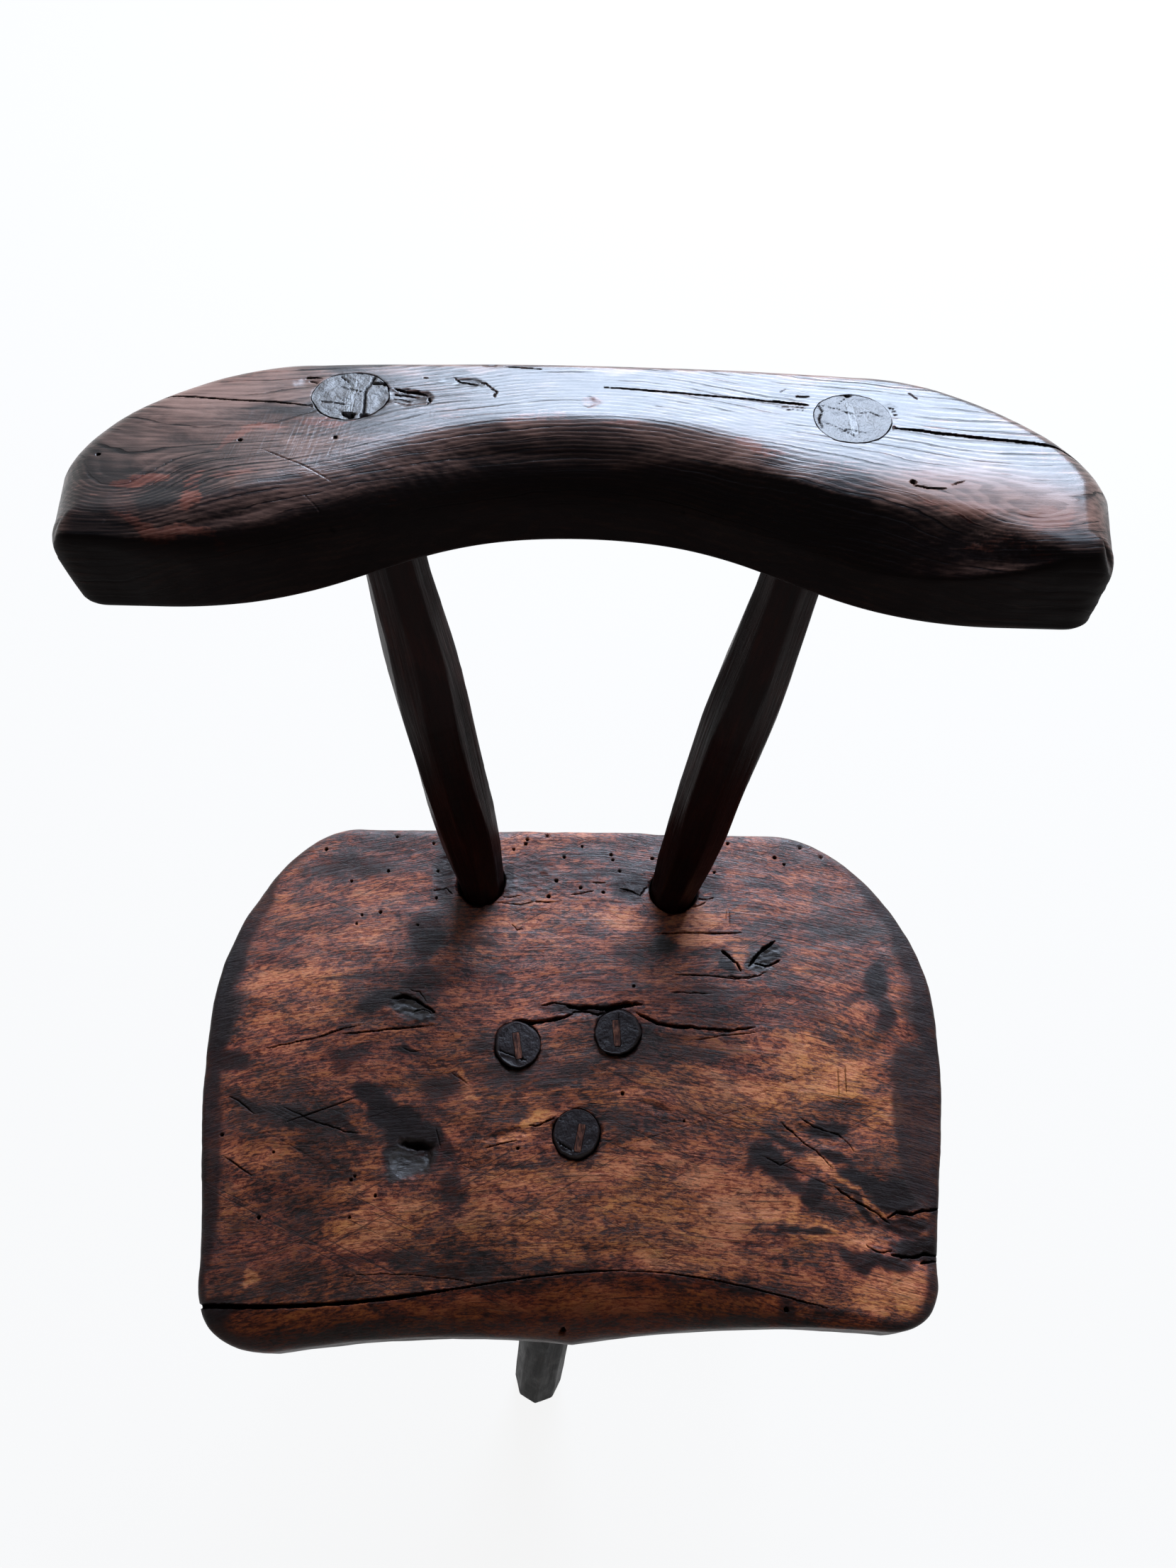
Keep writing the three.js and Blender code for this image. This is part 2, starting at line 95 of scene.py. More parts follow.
# Along the front: x, where the top starts to roll over, how far it rolls, then the chamfer's run,
# its drop and how plain its slope is
REST_FRONT_EDGE = (
    (-200, 16, 4.0, 4, 7, 0.2),
    (-150, 23, 6.0, 10, 13, 0.2),
    (-100, 33, 8.0, 13, 17, 0.3),
    (-50, 34, 9.0, 16, 19, 0.4),
    (0, 34, 9.0, 15, 19, 0.5),
    (40, 35, 8.0, 16, 20, 0.6),
    (80, 36, 6.5, 20, 21, 0.85),
    (120, 35, 4.5, 25, 20, 0.9),
    (160, 28, 3.0, 20, 15, 0.9),
    (200, 10, 2.0, 4, 8, 0.6),
)
REST_TILT = math.radians(10)
REST_YAW = math.radians(-1.8)

# Legs: where the axis leaves the seat's top, where it meets the floor, and the wedge's place
# off the axis and its turn
LEGS = {
    "leg_front": ((-1.2, -70.0), (-38.0, -199.0), (2.0, -3.4), -11),
    "leg_back_left": ((-37.8, -15.7), (-148.0, 92.0), (-0.6, -0.5), 9),
    "leg_back_right": ((24.9, -8.0), (142.0, 98.0), (-0.4, -0.4), 4),
}
SEEDS = {"leg_front": 101, "leg_back_left": 131, "leg_back_right": 161, "back_post_left": 201, "back_post_right": 231}
LEG_PROUD = 2.5
LEG_RADIUS = 19.5
LEG_SHOULDER = 26.0
LEG_TENON_TOP = 13.8
LEG_TENON_FOOT = 15.2

# Posts: the place on the seat's top and the place on the backrest's top
POSTS = {
    "back_post_left": ((-64.5, 93.0), (-105.5, 42.0)),
    "back_post_right": ((62.5, 87.5), (118.5, 34.0)),
}
POST_TENON_FOOT = 14.2
POST_PROUD_BELOW = 1.6

WEDGE_SIDE_WOOD = 5.5


# Smooth noise

def value_noise(points, seed):
    """Smooth random values from -1 to 1 at the points, on a lattice of spacing 1."""
    cell = np.floor(points).astype(np.int64)
    share = points - cell
    share = share**3 * (share * (share * 6 - 15) + 10)
    total = np.zeros(len(points))
    for corner in itertools.product((0, 1), repeat=points.shape[1]):
        key = np.full(len(points), seed * 144665 + 71, dtype=np.int64)
        weight = np.ones(len(points))
        for axis, step in enumerate(corner):
            key = (key ^ (cell[:, axis] + step) * (73856093, 19349663, 83492791)[axis]) & 0x7FFFFFFF
            key = (key * 1103515245 + 12345) & 0x7FFFFFFF
            weight *= share[:, axis] if step else 1 - share[:, axis]
        key = (key ^ (key >> 13)) * 1274126177 & 0x7FFFFFFF
        key ^= key >> 16
        total += weight * ((key & 0xFFFF) / 32767.5 - 1)
    return total


def rough_noise(points, size, seed, octaves=4, gain=0.5):
    """Layers of smooth noise. Size is the largest feature, one number or one per axis."""
    total = np.zeros(len(points))
    scale, weight = 1.0, 1.0
    for layer in range(octaves):
        total += weight * value_noise(points / np.asarray(size) * scale + 17.3 * layer, seed + layer)
        scale *= 2.03
        weight *= gain
    return total


def smooth(value, low, high):
    share = np.clip((value - low) / (high - low), 0, 1)
    return share * share * (3 - 2 * share)


def mixed(a, b, share):
    return a + (b - a) * share


# Outlines

def bezier(*poles, steps=40):
    """Points of a curve with three or four poles, without its last point."""
    share = np.linspace(0, 1, steps, endpoint=False)[:, None]
    degree = len(poles) - 1
    return sum(
        math.comb(degree, k) * share**k * (1 - share) ** (degree - k) * np.array(pole, dtype=float)
        for k, pole in enumerate(poles)
    )


def resampled(points, spacing, crowded=()):
    """A closed line with even spacing, and a third of it near each crowded place."""
    closed = np.vstack([points, points[:1]])
    reach = np.concatenate([[0], np.cumsum(np.linalg.norm(np.diff(closed, axis=0), axis=1))])
    fine = np.arange(0, reach[-1], spacing / 8)
    trail = np.stack([np.interp(fine, reach, closed[:, k]) for k in (0, 1)], axis=1)
    density = np.full(len(trail), 1.0)
    for place, radius in crowded:
        density += 2.6 * (np.linalg.norm(trail - place, axis=1) < radius)
    filled = np.concatenate([[0], np.cumsum(density * spacing / 8)])[:-1]
    count = int(filled[-1] / spacing)
    want = np.arange(count) * filled[-1] / count
    return np.stack([np.interp(want, filled, trail[:, k]) for k in (0, 1)], axis=1)


def outward(loop):
    """Unit normals of a loop that runs anticlockwise."""
    along = np.roll(loop, -1, axis=0) - np.roll(loop, 1, axis=0)
    normal = np.stack([along[:, 1], -along[:, 0]], axis=1)
    return normal / np.linalg.norm(normal, axis=1)[:, None]


def front_line(x):
    return SEAT_FRONT_SKEW * (x - SEAT_FRONT_SHIFT) / SEAT_FRONT_WIDTH - SEAT_DEPTH / 2


def lip_width(x):
    share = np.clip((x - SEAT_FRONT_SHIFT) / SEAT_FRONT_WIDTH + 0.5, 0, 1)
    return mixed(LIP_LEFT, LIP_RIGHT, share) + LIP_BOW * np.sin(np.pi * share**LIP_SKEW) ** 2


def shake_line(x):
    """Y of the shake for an x in the frame."""
    local = x - SEAT_MIDDLE[0]
    return front_line(local) + lip_width(local) + SEAT_MIDDLE[1]


def seat_outline():
    side, end = SEAT_WIDTH / 2, SEAT_DEPTH / 2
    widest = end - SEAT_WIDEST
    left, right = (SEAT_FRONT_SHIFT + k * SEAT_FRONT_WIDTH / 2 for k in (-1, 1))
    back_left, back_right = (SEAT_BACK_SHIFT + k * SEAT_BACK_WIDTH / 2 for k in (-1, 1))
    end_left, end_right = end + SEAT_BACK_SKEW / 2, end - SEAT_BACK_SKEW / 2
    start, stop = left + SEAT_CORNER_LEFT, right - SEAT_CORNER_RIGHT
    swell = (widest + end) / 3
    line = front_line
    side_right = line(right) + SEAT_CORNER_RIGHT
    side_left = line(left) + SEAT_CORNER_LEFT
    flare_right = mixed(right, side, SEAT_FLARE)
    flare_left = mixed(left, -side, SEAT_FLARE)
    parts = [
        bezier((start, line(start)), (start / 2, line(start / 2) + 2 * SEAT_SCOOP), (0, line(0))),
        bezier((0, line(0)), (stop / 2, line(stop / 2) + 2 * SEAT_SCOOP), (stop, line(stop))),
        bezier((stop, line(stop)), (right, line(right)), (right, side_right)),
        bezier((right, side_right), (flare_right, side_right + swell), (side, widest - swell), (side, widest)),
        bezier((side, widest), (side, (widest + end) / 2), ((side + back_right) / 2, end_right),
               (back_right, end_right)),
        bezier((back_right, end_right), (SEAT_BACK_SHIFT, end + 0.6), (back_left, end_left)),
        bezier((back_left, end_left), ((back_left - side) / 2, end_left), (-side, (widest + end) / 2),
               (-side, widest)),
        bezier((-side, widest), (-side, widest - swell), (flare_left, side_left + swell), (left, side_left)),
        bezier((left, side_left), (left, line(left)), (start, line(start))),
    ]
    return np.vstack(parts) + SEAT_MIDDLE


REST_HOLLOW = REST_WIDTH / 2 - REST_END_TAPER - REST_CORNER - REST_END_FACE


def rest_outline():
    side, back, front = REST_WIDTH / 2, REST_BACK_WIDTH / 2, -REST_SWEEP
    shoulder = front + REST_CORNER + REST_END_SIDE
    bowed = REST_DEPTH - REST_BACK_BOW
    turn = (shoulder + bowed) / 2
    end = side - REST_END_TAPER
    out, into = REST_HOLLOW * REST_HOLLOW_EASE, REST_HOLLOW * (1 - REST_HOLLOW_EASE)
    corner = front + REST_CORNER
    parts = [
        bezier((0, 0), (out, 0), (into, front), (REST_HOLLOW, front), steps=90),
        bezier((REST_HOLLOW, front), (end - REST_CORNER, front), steps=12),
        bezier((end - REST_CORNER, front), (end, front), (end, corner), steps=14),
        bezier((end, corner), (side, shoulder), steps=12),
        bezier((side, shoulder), (side, turn), ((side + back) / 2, bowed), (back, bowed), steps=60),
        bezier((back, bowed), (back / 2, REST_DEPTH), (0, REST_DEPTH), steps=50),
        bezier((0, REST_DEPTH), (-back / 2, REST_DEPTH), (-back, bowed), steps=50),
        bezier((-back, bowed), (-(side + back) / 2, bowed), (-side, turn), (-side, shoulder), steps=60),
        bezier((-side, shoulder), (-end, corner), steps=12),
        bezier((-end, corner), (-end, front), (REST_CORNER - end, front), steps=14),
        bezier((REST_CORNER - end, front), (-REST_HOLLOW, front), steps=12),
        bezier((-REST_HOLLOW, front), (-into, front), (-out, 0), (0, 0), steps=90),
    ]
    return np.vstack(parts)


# Splits, scratches, dents and holes, as depths over a flat map

WANDER_SIZE = 5
BOWL_CLEAR = 1.1
HOLE_DEPTH = 3.2
HOLE_SOFT = 0.22


class Marks:
    """What is cut into a surface that is seen from above, in the map's own millimetres.

    A split is its width, depth and raggedness, then x, y, x, y along it, and one with a negative
    raggedness is open at its first end. A bowl is x, y, two radii, its turn in degrees and its
    depth. A hole is x, y and its radius.
    """

    def __init__(self, splits, bowls, holes=()):
        self.splits, self.bowls, self.holes = splits, bowls, holes

    def near(self, points):
        """Distance from each point to the nearest mark's edge."""
        best = np.full(len(points), 1e6)
        for width, _, _, *path in self.splits:
            best = np.minimum(best, to_path(points, path)[0] - width / 2)
        for x, y, a, b, _, _ in self.bowls:
            gap = np.hypot(points[:, 0] - x, points[:, 1] - y) - max(a, b)
            best = np.minimum(best, np.maximum(gap, BOWL_CLEAR))
        for x, y, radius in self.holes:
            best = np.minimum(best, np.hypot(points[:, 0] - x, points[:, 1] - y) - radius)
        return best

    def cut(self, points):
        """How deep the marks go at each point, and how dark they are, from 0 to 1. The darkness is painted shade in the
        splits, deep bowls and holes, darker the deeper they go.
        """
        depth, dark = np.zeros(len(points)), np.zeros(len(points))
        wander = np.stack([rough_noise(points, WANDER_SIZE, seed, 3) for seed in (3, 4)], axis=1)
        for width, deep, ragged, *path in self.splits:
            if ragged < 0:
                gap, share = to_path(points, path)
                taper = np.clip(4 * (1 - share), 0.25, 1)
            else:
                gap, share = to_path(points + wander * ragged * 0.55, path)
                taper = np.clip(7 * share * (1 - share), 0, 1) ** 0.6
            half = width / 2 * taper * (1 + 0.35 * abs(ragged) * wander[:, 0])
            inside = np.clip((half - gap) / np.maximum(0.3, half * 0.45), 0, 1)
            depth = np.maximum(depth, deep * inside)
            dark = np.maximum(dark, smooth(inside, 0, 0.7) * min(1, 0.35 + deep / 1.5))
        for x, y, a, b, turn, deep in self.bowls:
            bowl = np.clip(1 - out_of_ellipse(points - (x, y) + wander * 1.2, a, b, turn) ** 2, 0, 1) ** 0.8
            depth += deep * bowl
            dark = np.maximum(dark, smooth(deep, 3.5, 4.5) * smooth(bowl, 0.2, 0.8) * 0.9)
        for x, y, radius in self.holes:
            away = np.hypot(points[:, 0] - x, points[:, 1] - y)
            inside = np.clip((radius - away) / HOLE_SOFT + 0.5, 0, 1)
            depth = np.maximum(depth, HOLE_DEPTH * inside)
            dark = np.maximum(dark, inside)
        return depth, dark


def to_path(points, path):
    """Distance to an open line, and the share of its length at the nearest place."""
    path = np.array(path, dtype=float).reshape(-1, 2)
    lengths = np.linalg.norm(np.diff(path, axis=0), axis=1)
    before = np.concatenate([[0], np.cumsum(lengths)])
    best, share = np.full(len(points), 1e9), np.zeros(len(points))
    for k in range(len(path) - 1):
        way = path[k + 1] - path[k]
        at = np.clip(((points - path[k]) @ way) / (way @ way), 0, 1)
        gap = np.linalg.norm(points - path[k] - at[:, None] * way, axis=1)
        closer = gap < best
        best = np.where(closer, gap, best)
        share = np.where(closer, (before[k] + at * lengths[k]) / before[-1], share)
    return best, share


def out_of_ellipse(gap, a, b, turn=0):
    """Distance from an ellipse's middle as a share of its radius that way. The turn is in degrees."""
    c, s = math.cos(math.radians(turn)), math.sin(math.radians(turn))
    return np.hypot((c * gap[:, 0] + s * gap[:, 1]) / a, (c * gap[:, 1] - s * gap[:, 0]) / b)


def spots(points, places, soft=0.55, seed=40):
    """How strongly painted places cover each point. A place is x, y, two radii, its strength and
    its turn in degrees, where it has one."""
    blur = np.stack([rough_noise(points, 16, seed + k, 3) for k in (0, 1)], axis=1) * 3.5
    total = np.zeros(len(points))
    for x, y, a, b, strength, *turn in places:
        away = out_of_ellipse(points - (x, y) + blur, a, b, *turn)
        total = np.maximum(total, strength * (1 - smooth(away, soft, 1.35)))
    return total


# Meshes

def tree_of(points):
    """A lookup for the nearest of some flat points."""
    tree = KDTree(len(points))
    for k, (x, y) in enumerate(points):
        tree.insert((x, y, 0), k)
    tree.balance()
    return tree


def gaps(tree, points):
    """Distance from each flat point to the nearest one of the tree."""
    return np.array([tree.find((x, y, 0))[2] for x, y in points])


def hexagons(low, high, spacing, rng):
    """Points over a box in rows that lie between one another, each moved a little."""
    rows = np.arange(low[1], high[1], spacing * 0.866)
    columns = np.arange(low[0], high[0], spacing)
    x, y = np.meshgrid(columns, rows)
    x = x + (np.arange(len(rows)) % 2)[:, None] * spacing / 2
    points = np.stack([x.ravel(), y.ravel()], axis=1)
    return points + rng.uniform(-0.13, 0.13, points.shape) * spacing


def in_loop(points, loop):
    """Which points lie inside a closed loop."""
    inside = np.zeros(len(points), dtype=bool)
    ax, ay = loop[:, 0], loop[:, 1]
    bx, by = np.roll(ax, -1), np.roll(ay, -1)
    for k in range(len(loop)):
        crosses = (ay[k] > points[:, 1]) != (by[k] > points[:, 1])
        if crosses.any():
            at = ax[k] + (points[:, 1] - ay[k]) / (by[k] - ay[k] + 1e-12) * (bx[k] - ax[k])
            inside ^= crosses & (points[:, 0] < at)
    return inside


def shifted(loop, gap):
    """A closed loop whose points lie farther from its middle by the gap."""
    centre = loop.mean(axis=0)
    return centre + (loop - centre) * (1 + gap / np.linalg.norm(loop - centre, axis=1))[:, None]


def sheet(loops, inner):
    """Triangles between an outer loop, the loops of its holes and loose points, all on a plane.
    Indices follow the loops and then the loose points."""
    points = np.vstack([*loops, inner])
    edges, first = [], 0
    for loop in loops:
        count = len(loop)
        edges += [(first + k, first + (k + 1) % count) for k in range(count)]
        first += count
    made = delaunay_2d_cdt([Vector(p) for p in points], edges, [], 0, 1e-7, False)
    if len(made[0]) != len(points):
        raise RuntimeError("a sheet's loops or points coincide")
    faces = np.array(made[2])
    centres = points[faces].mean(axis=1)
    inside = in_loop(centres, loops[0])
    for hole in loops[1:]:
        inside &= ~in_loop(centres, hole)
    return faces[inside]


class Builder:
    """Collects vertices, faces and their painted values, then makes an object of them."""

    def __init__(self):
        self.points, self.faces, self.count = [], [], 0

    def add(self, points):
        first = self.count
        self.points.append(np.asarray(points, dtype=float))
        self.count += len(points)
        return np.arange(first, self.count)

    def join(self, lower, upper):
        """Quads between two closed loops of indices, the lower one first."""
        self.faces.append(np.stack([lower, np.roll(lower, -1), np.roll(upper, -1), upper], axis=1))

    def below(self, upper, points):
        """A closed ring of new points, joined under another ring."""
        ring = self.add(points)
        self.join(ring, upper)
        return ring

    def fill(self, triangles, flip=False):
        self.faces.append(triangles[:, ::-1] if flip else triangles)

    def vertices(self):
        return np.vstack(self.points)

    def make(self, name, points, paint, wood, matrix=None):
        """An object with its vertices in millimetres of its own frame."""
        mesh = bpy.data.meshes.new(name)
        faces = [face for block in self.faces for face in block.tolist()]
        mesh.from_pydata((points * MM).tolist(), [], faces)
        for key, values in paint.items():
            layer = mesh.attributes.new(key, "FLOAT", "POINT")
            layer.data.foreach_set("value", np.asarray(values, dtype=np.float32))
        mesh.polygons.foreach_set("use_smooth", [True] * len(mesh.polygons))
        mesh.update()
        mesh.materials.append(wood)
        made = bpy.data.objects.new(name, mesh)
        bpy.context.scene.collection.objects.link(made)
        if matrix is not None:
            made.matrix_world = matrix
        return made


def vertex_normals(points, blocks):
    """Normals of the vertices, weighted by the area of the faces round them."""
    normals = np.zeros_like(points)
    for block in blocks:
        corner = points[block[:, 0]]
        cross = np.cross(points[block[:, 1]] - corner, points[block[:, -1]] - corner)
        for k in range(block.shape[1]):
            np.add.at(normals, block[:, k], cross)
    return normals / np.maximum(np.linalg.norm(normals, axis=1), 1e-12)[:, None]


def weathered(body, points, amount, size, seed, still):
    """Points moved along their normals by layered noise, and the normals."""
    normals = vertex_normals(points, body.faces)
    push = rough_noise(points, size, seed, 4, 0.55) * amount
    push[still] = 0
    return points + normals * push[:, None], normals


def lobes(turns, seed):
    """How the radius of a tenon's end, and of its hole, changes round it. Seed 0 is a true round."""
    around = np.stack([np.cos(turns), np.sin(turns)], axis=1) * 1.5 + seed
    return 1 + (0.034 * rough_noise(around, 1.0, seed, 4) if seed else 0.0 * turns)


def out_of_hole(points, hole):
    """Distance from a hole's middle, as a share of its radius in that direction."""
    x, y, a, b = hole[:4]
    dx, dy = (points[:, 0] - x) / a, (points[:, 1] - y) / b
    return np.hypot(dx, dy) / lobes(np.arctan2(dy, dx), hole[-1])


# A plank's spacings, in millimetres
RIM_SPACING = 1.6
INSETS = (0.12, 0.45, 1.0, 1.8, 2.9, 4.3, 6.0)
COLLARS = (0.12, 0.5, 1.2)
WALL_ROW = 2.1
UNDER_SPACING = 3.4
# Finer spacings near the marks, each from one distance to another
FINE_SPACINGS = ((0.5, -9, 1.1), (0.95, 1.1, 4.0))
CELL = 6
CELL_REACH = 8
HOLE_SIDES = 96
BORE_ROWS = 6
EDGE_ROWS = 4


def plank(outline, crowded, rim, thickness, edge_below, holes, marks, relief, spacing, seed, seam):
    """A plank with its underside at height 0, as a Builder, its vertices and named groups, and how
    dark its marks are.

    rim(points, normals) gives how far the top edge's rounding runs in, how far it drops, how much
    of it is a plain slope, where the top starts to roll over before it, and how far it rolls. A
    hole is the middle and two radii of an ellipse on top, the same underneath, and the seed of its
    lobes. seam is how far its mouth is worn. relief(points) is added to the top's height.
    """
    rng = np.random.default_rng(seed)
    loop = resampled(outline, RIM_SPACING, crowded)
    normal = outward(loop)
    tree = tree_of(loop)
    turn = np.linspace(0, 2 * np.pi, HOLE_SIDES, endpoint=False)
    circle = np.stack([np.cos(turn), np.sin(turn)], axis=1)
    mouths = [circle * lobes(turn, hole[-1])[:, None] for hole in holes]
    tops = [np.array(hole[:2]) + mouth * hole[2:4] for hole, mouth in zip(holes, mouths)]
    feet = [np.array([x, y]) + circle * (a, b) for *_, x, y, a, b, _ in holes]

    low, high = loop.min(axis=0), loop.max(axis=0)
    pool = []
    for pitch, nearest, farthest in (*FINE_SPACINGS, (spacing, FINE_SPACINGS[-1][-1], 1e9)):
        grid = hexagons(low, high, pitch, rng)
        if pitch < spacing:
            coarse = marks.near(hexagons(low, high, CELL, rng))
            close = hexagons(low, high, CELL, rng)[coarse < farthest + CELL_REACH]
            cells = {(int(x // CELL), int(y // CELL)) for x, y in close}
            wide = {(i + p, j + q) for i, j in cells for p in (-1, 0, 1) for q in (-1, 0, 1)}
            keys = np.floor(grid / CELL).astype(int)
            grid = grid[np.array([(i, j) in wide for i, j in keys.tolist()])]
        gap = marks.near(grid)
        pool.append(grid[(gap >= nearest) & (gap < farthest)])
    grid = np.vstack(pool)
    grid = grid[in_loop(grid, loop)]
    grid = grid[gaps(tree, grid) > INSETS[-1] + 0.8]
    for hole in holes:
        grid = grid[out_of_hole(grid, hole) > 1 + 1.9 / min(hole[2:4])]
    rings = [loop - normal * depth for depth in INSETS]
    collars = [np.array(h[:2]) + mouth * (h[2] + gap, h[3] + gap) for h, mouth in zip(holes, mouths) for gap in COLLARS]
    inner = np.vstack([*rings, *collars, grid])
    flat = np.vstack([loop, *tops, inner])

    found = [tree.find((x, y, 0)) for x, y in flat]
    near = np.array([k for _, k, _ in found])
    inset = np.array([gap for _, _, gap in found])
    run, drop, slope, start, roll = (values[near] for values in rim(loop, normal))
    out = 1 - np.clip(inset / run, 0, 1)
    fall = drop * mixed(1 - np.sqrt(np.clip(1 - out**2, 0, 1)), out, slope)
    fall += roll * np.clip((start - inset) / (start - run), 0, 1) ** 1.8
    deep, dark = marks.cut(flat)
    edge = smooth(inset, 0, 5)
    rise = thickness - fall + relief(flat) * edge - deep * (0.25 + 0.75 * edge)
    for hole in holes:
        away, small = out_of_hole(flat, hole), min(hole[2:4])
        torn = np.clip(0.6 + 0.9 * rough_noise(flat, 5, seed + 30, 3), 0.05, 2)
        rise -= 0.6 * seam * torn * (1 - smooth(away, 1.0, 1 + 1.2 * seam * torn / small))
        # Painted shadow: a dark ring round each mortise's mouth, where the gap round the tenon lies in shade.
        dark = np.maximum(dark, 1 - smooth(away, 1.0, 1 + 1.3 * seam * torn / small))

    body = Builder()
    top = body.add(np.column_stack([flat, rise]))
    body.fill(sheet([loop, *tops], inner))
    rows = max(6, int((thickness - edge_below) / WALL_ROW))
    wall = [top[: len(loop)]]
    for k in range(1, rows + 1):
        height = mixed(rise[: len(loop)], edge_below, k / rows)
        wall.append(body.below(wall[-1], np.column_stack([loop, height])))
    above = wall[-1]
    for k in range(1, EDGE_ROWS + 1):
        bend = k / EDGE_ROWS * np.pi / 2
        ring = loop - normal * edge_below * (1 - math.cos(bend))
        height = np.full(len(loop), edge_below * (1 - math.sin(bend)))
        above = body.below(above, np.column_stack([ring, height]))

    last = loop - normal * edge_below
    under = hexagons(low, high, UNDER_SPACING, rng)
    under = under[in_loop(under, last)]
    under = under[gaps(tree, under) > edge_below + 2.2]
    for *_, x, y, a, b, _ in holes:
        away = np.hypot((under[:, 0] - x) / a, (under[:, 1] - y) / b)
        under = under[away > 1 + 1.8 / min(a, b)]
    extra = np.vstack([*feet, under])
    low_face = body.add(np.column_stack([extra, np.zeros(len(extra))]))
    body.fill(np.concatenate([above, low_face])[sheet([last, *feet], under)], flip=True)

    bores = []
    for k in range(len(holes)):
        upper = top[len(loop) + k * HOLE_SIDES :][:HOLE_SIDES]
        foot = low_face[k * HOLE_SIDES :][:HOLE_SIDES]
        above, below = body.vertices()[upper], body.vertices()[foot]
        for step in range(1, BORE_ROWS):
            ring = body.add(mixed(above, below, step / BORE_ROWS))
            bores.append(ring)
            body.join(upper, ring)
            upper = ring
        body.join(upper, foot)

    points = body.vertices()
    groups = {"under": low_face, "wall": np.concatenate(wall[1:]), "bore": np.concatenate(bores)}
    dark = np.concatenate([dark, np.zeros(len(points) - len(dark))])
    # Painted shade: the mortises' walls are painted fully dark.
    dark[groups["bore"]] = 1
    return body, points, groups, dark


# Materials

def new_node(tree, kind, inputs=None, **settings):
    """A node with its settings, and with each input a plain value or what another node gives."""
    made = tree.nodes.new(kind)
    for key, value in settings.items():
        setattr(made, key, value)
    for key, value in (inputs or {}).items():
        value = value.socket if isinstance(value, Field) else value
        if isinstance(value, bpy.types.NodeSocket):
            tree.links.new(value, made.inputs[key])
        else:
            made.inputs[key].default_value = value
    return made


class Field:
    """What a node gives, as a value that can be added, multiplied and so on."""

    def __init__(self, paint, socket):
        self.paint, self.socket = paint, socket

    def __add__(self, other):
        return self.paint.math("ADD", self, other)

    def __sub__(self, other):
        return self.paint.math("SUBTRACT", self, other)

    def __mul__(self, other):
        return self.paint.math("MULTIPLY", self, other)

    def step(self, low, high, out_low=0.0, out_high=1.0):
        """Goes smoothly from one result to the other while the value goes from low to high."""
        inputs = {"Value": self, "From Min": low, "From Max": high, "To Min": out_low, "To Max": out_high}
        return self.paint.add("ShaderNodeMapRange", inputs, interpolation_type="SMOOTHSTEP")


class Paint:
    """A wood's material, and short names for the nodes that it is mixed from."""

    def __init__(self, name):
        self.material = bpy.data.materials.new(name)
        self.material.use_nodes = True
        self.tree = self.material.node_tree
        self.tree.nodes.clear()
        self.place = self.add("ShaderNodeTexCoord", output="Object")

    def add(self, kind, inputs=None, output=0, **settings):
        return Field(self, new_node(self.tree, kind, inputs, **settings).outputs[output])

    def painted(self, *keys):
        return [self.add("ShaderNodeAttribute", output="Fac", attribute_name=key) for key in keys]

    def axes(self):
        made = new_node(self.tree, "ShaderNodeSeparateXYZ", {0: self.place})
        return [Field(self, socket) for socket in made.outputs]

    def math(self, operation, a, b=0.0, clamp=False):
        return self.add("ShaderNodeMath", {0: a, 1: b}, operation=operation, use_clamp=clamp)

    def mapped(self, scale=(1, 1, 1), shift=(0, 0, 0), source=None, turn=0.0):
        """Places scaled, shifted and turned round Z."""
        inputs = {"Vector": source or self.place, "Scale": scale, "Rotation": (0, 0, turn), "Location": shift}
        return self.add("ShaderNodeMapping", inputs)

    def noise(self, scale, detail, rough, twist=0.0, shift=(0, 0, 0), source=None):
        inputs = {"Vector": self.mapped(scale, shift, source), "Scale": 1.0, "Detail": detail, "Roughness": rough,
                  "Distortion": twist}
        return self.add("ShaderNodeTexNoise", inputs, "Fac")

    def bent(self, bow, sway):
        """The piece's own place with Y shifted, so that lines along X bow and sway."""
        x, y, z = self.axes()
        drift = self.noise((7, 12, 12), 1, 0.4, 0.0, (5, 1, 7)) - 0.5
        return self.add("ShaderNodeCombineXYZ", {0: x, 1: y + (x * x * bow + drift * sway), 2: z})

    def ramp(self, value, *stops):
        made = new_node(self.tree, "ShaderNodeValToRGB", {"Fac": value})
        elements = made.color_ramp.elements
        while len(elements) < len(stops):
            elements.new(0.5)
        for element, (at, color) in zip(elements, stops):
            element.position = at
            element.color = (*color, 1)
        return Field(self, made.outputs["Color"])

    def mix(self, share, a, b, blend="MIX"):
        """A colour from a to b. Sockets 0, 6 and 7 are the mix node's share and its two colours."""
        a, b = (color if isinstance(color, Field) else (*color, 1) for color in (a, b))
        return self.add("ShaderNodeMix", {0: share, 6: a, 7: b}, 2, data_type="RGBA", blend_type=blend)

    def tinted(self, color, tint):
        return self.mix(1.0, color, tint, "MULTIPLY")

    def bump(self, height, distance, below=None):
        inputs = {"Height": height, "Distance": distance, "Strength": 1.0} | ({"Normal": below} if below else {})
        return self.add("ShaderNodeBump", inputs)

    def finish(self, color, roughness, normal, coat, coat_roughness, specular):
        shader = self.add("ShaderNodeBsdfPrincipled", {
            "Base Color": color, "Roughness": roughness, "Normal": normal, "Specular IOR Level": specular,
            "Coat Weight": coat, "Coat Roughness": coat_roughness, "Coat Normal": normal,
        })
        new_node(self.tree, "ShaderNodeOutputMaterial", {0: shader})
        return self.material


def toned(parts, middle):
    """A tone from 0 to 1: the middle value plus each field's offset from a half, times its weight."""
    for field, weight in parts:
        middle = (field - 0.5) * weight + middle
    return middle


# PIT is the near-black painted shade of cracks, holes, deep bowls, mortise walls and the gaps round the tenons.
PIT = (0.0012, 0.0008, 0.0008)


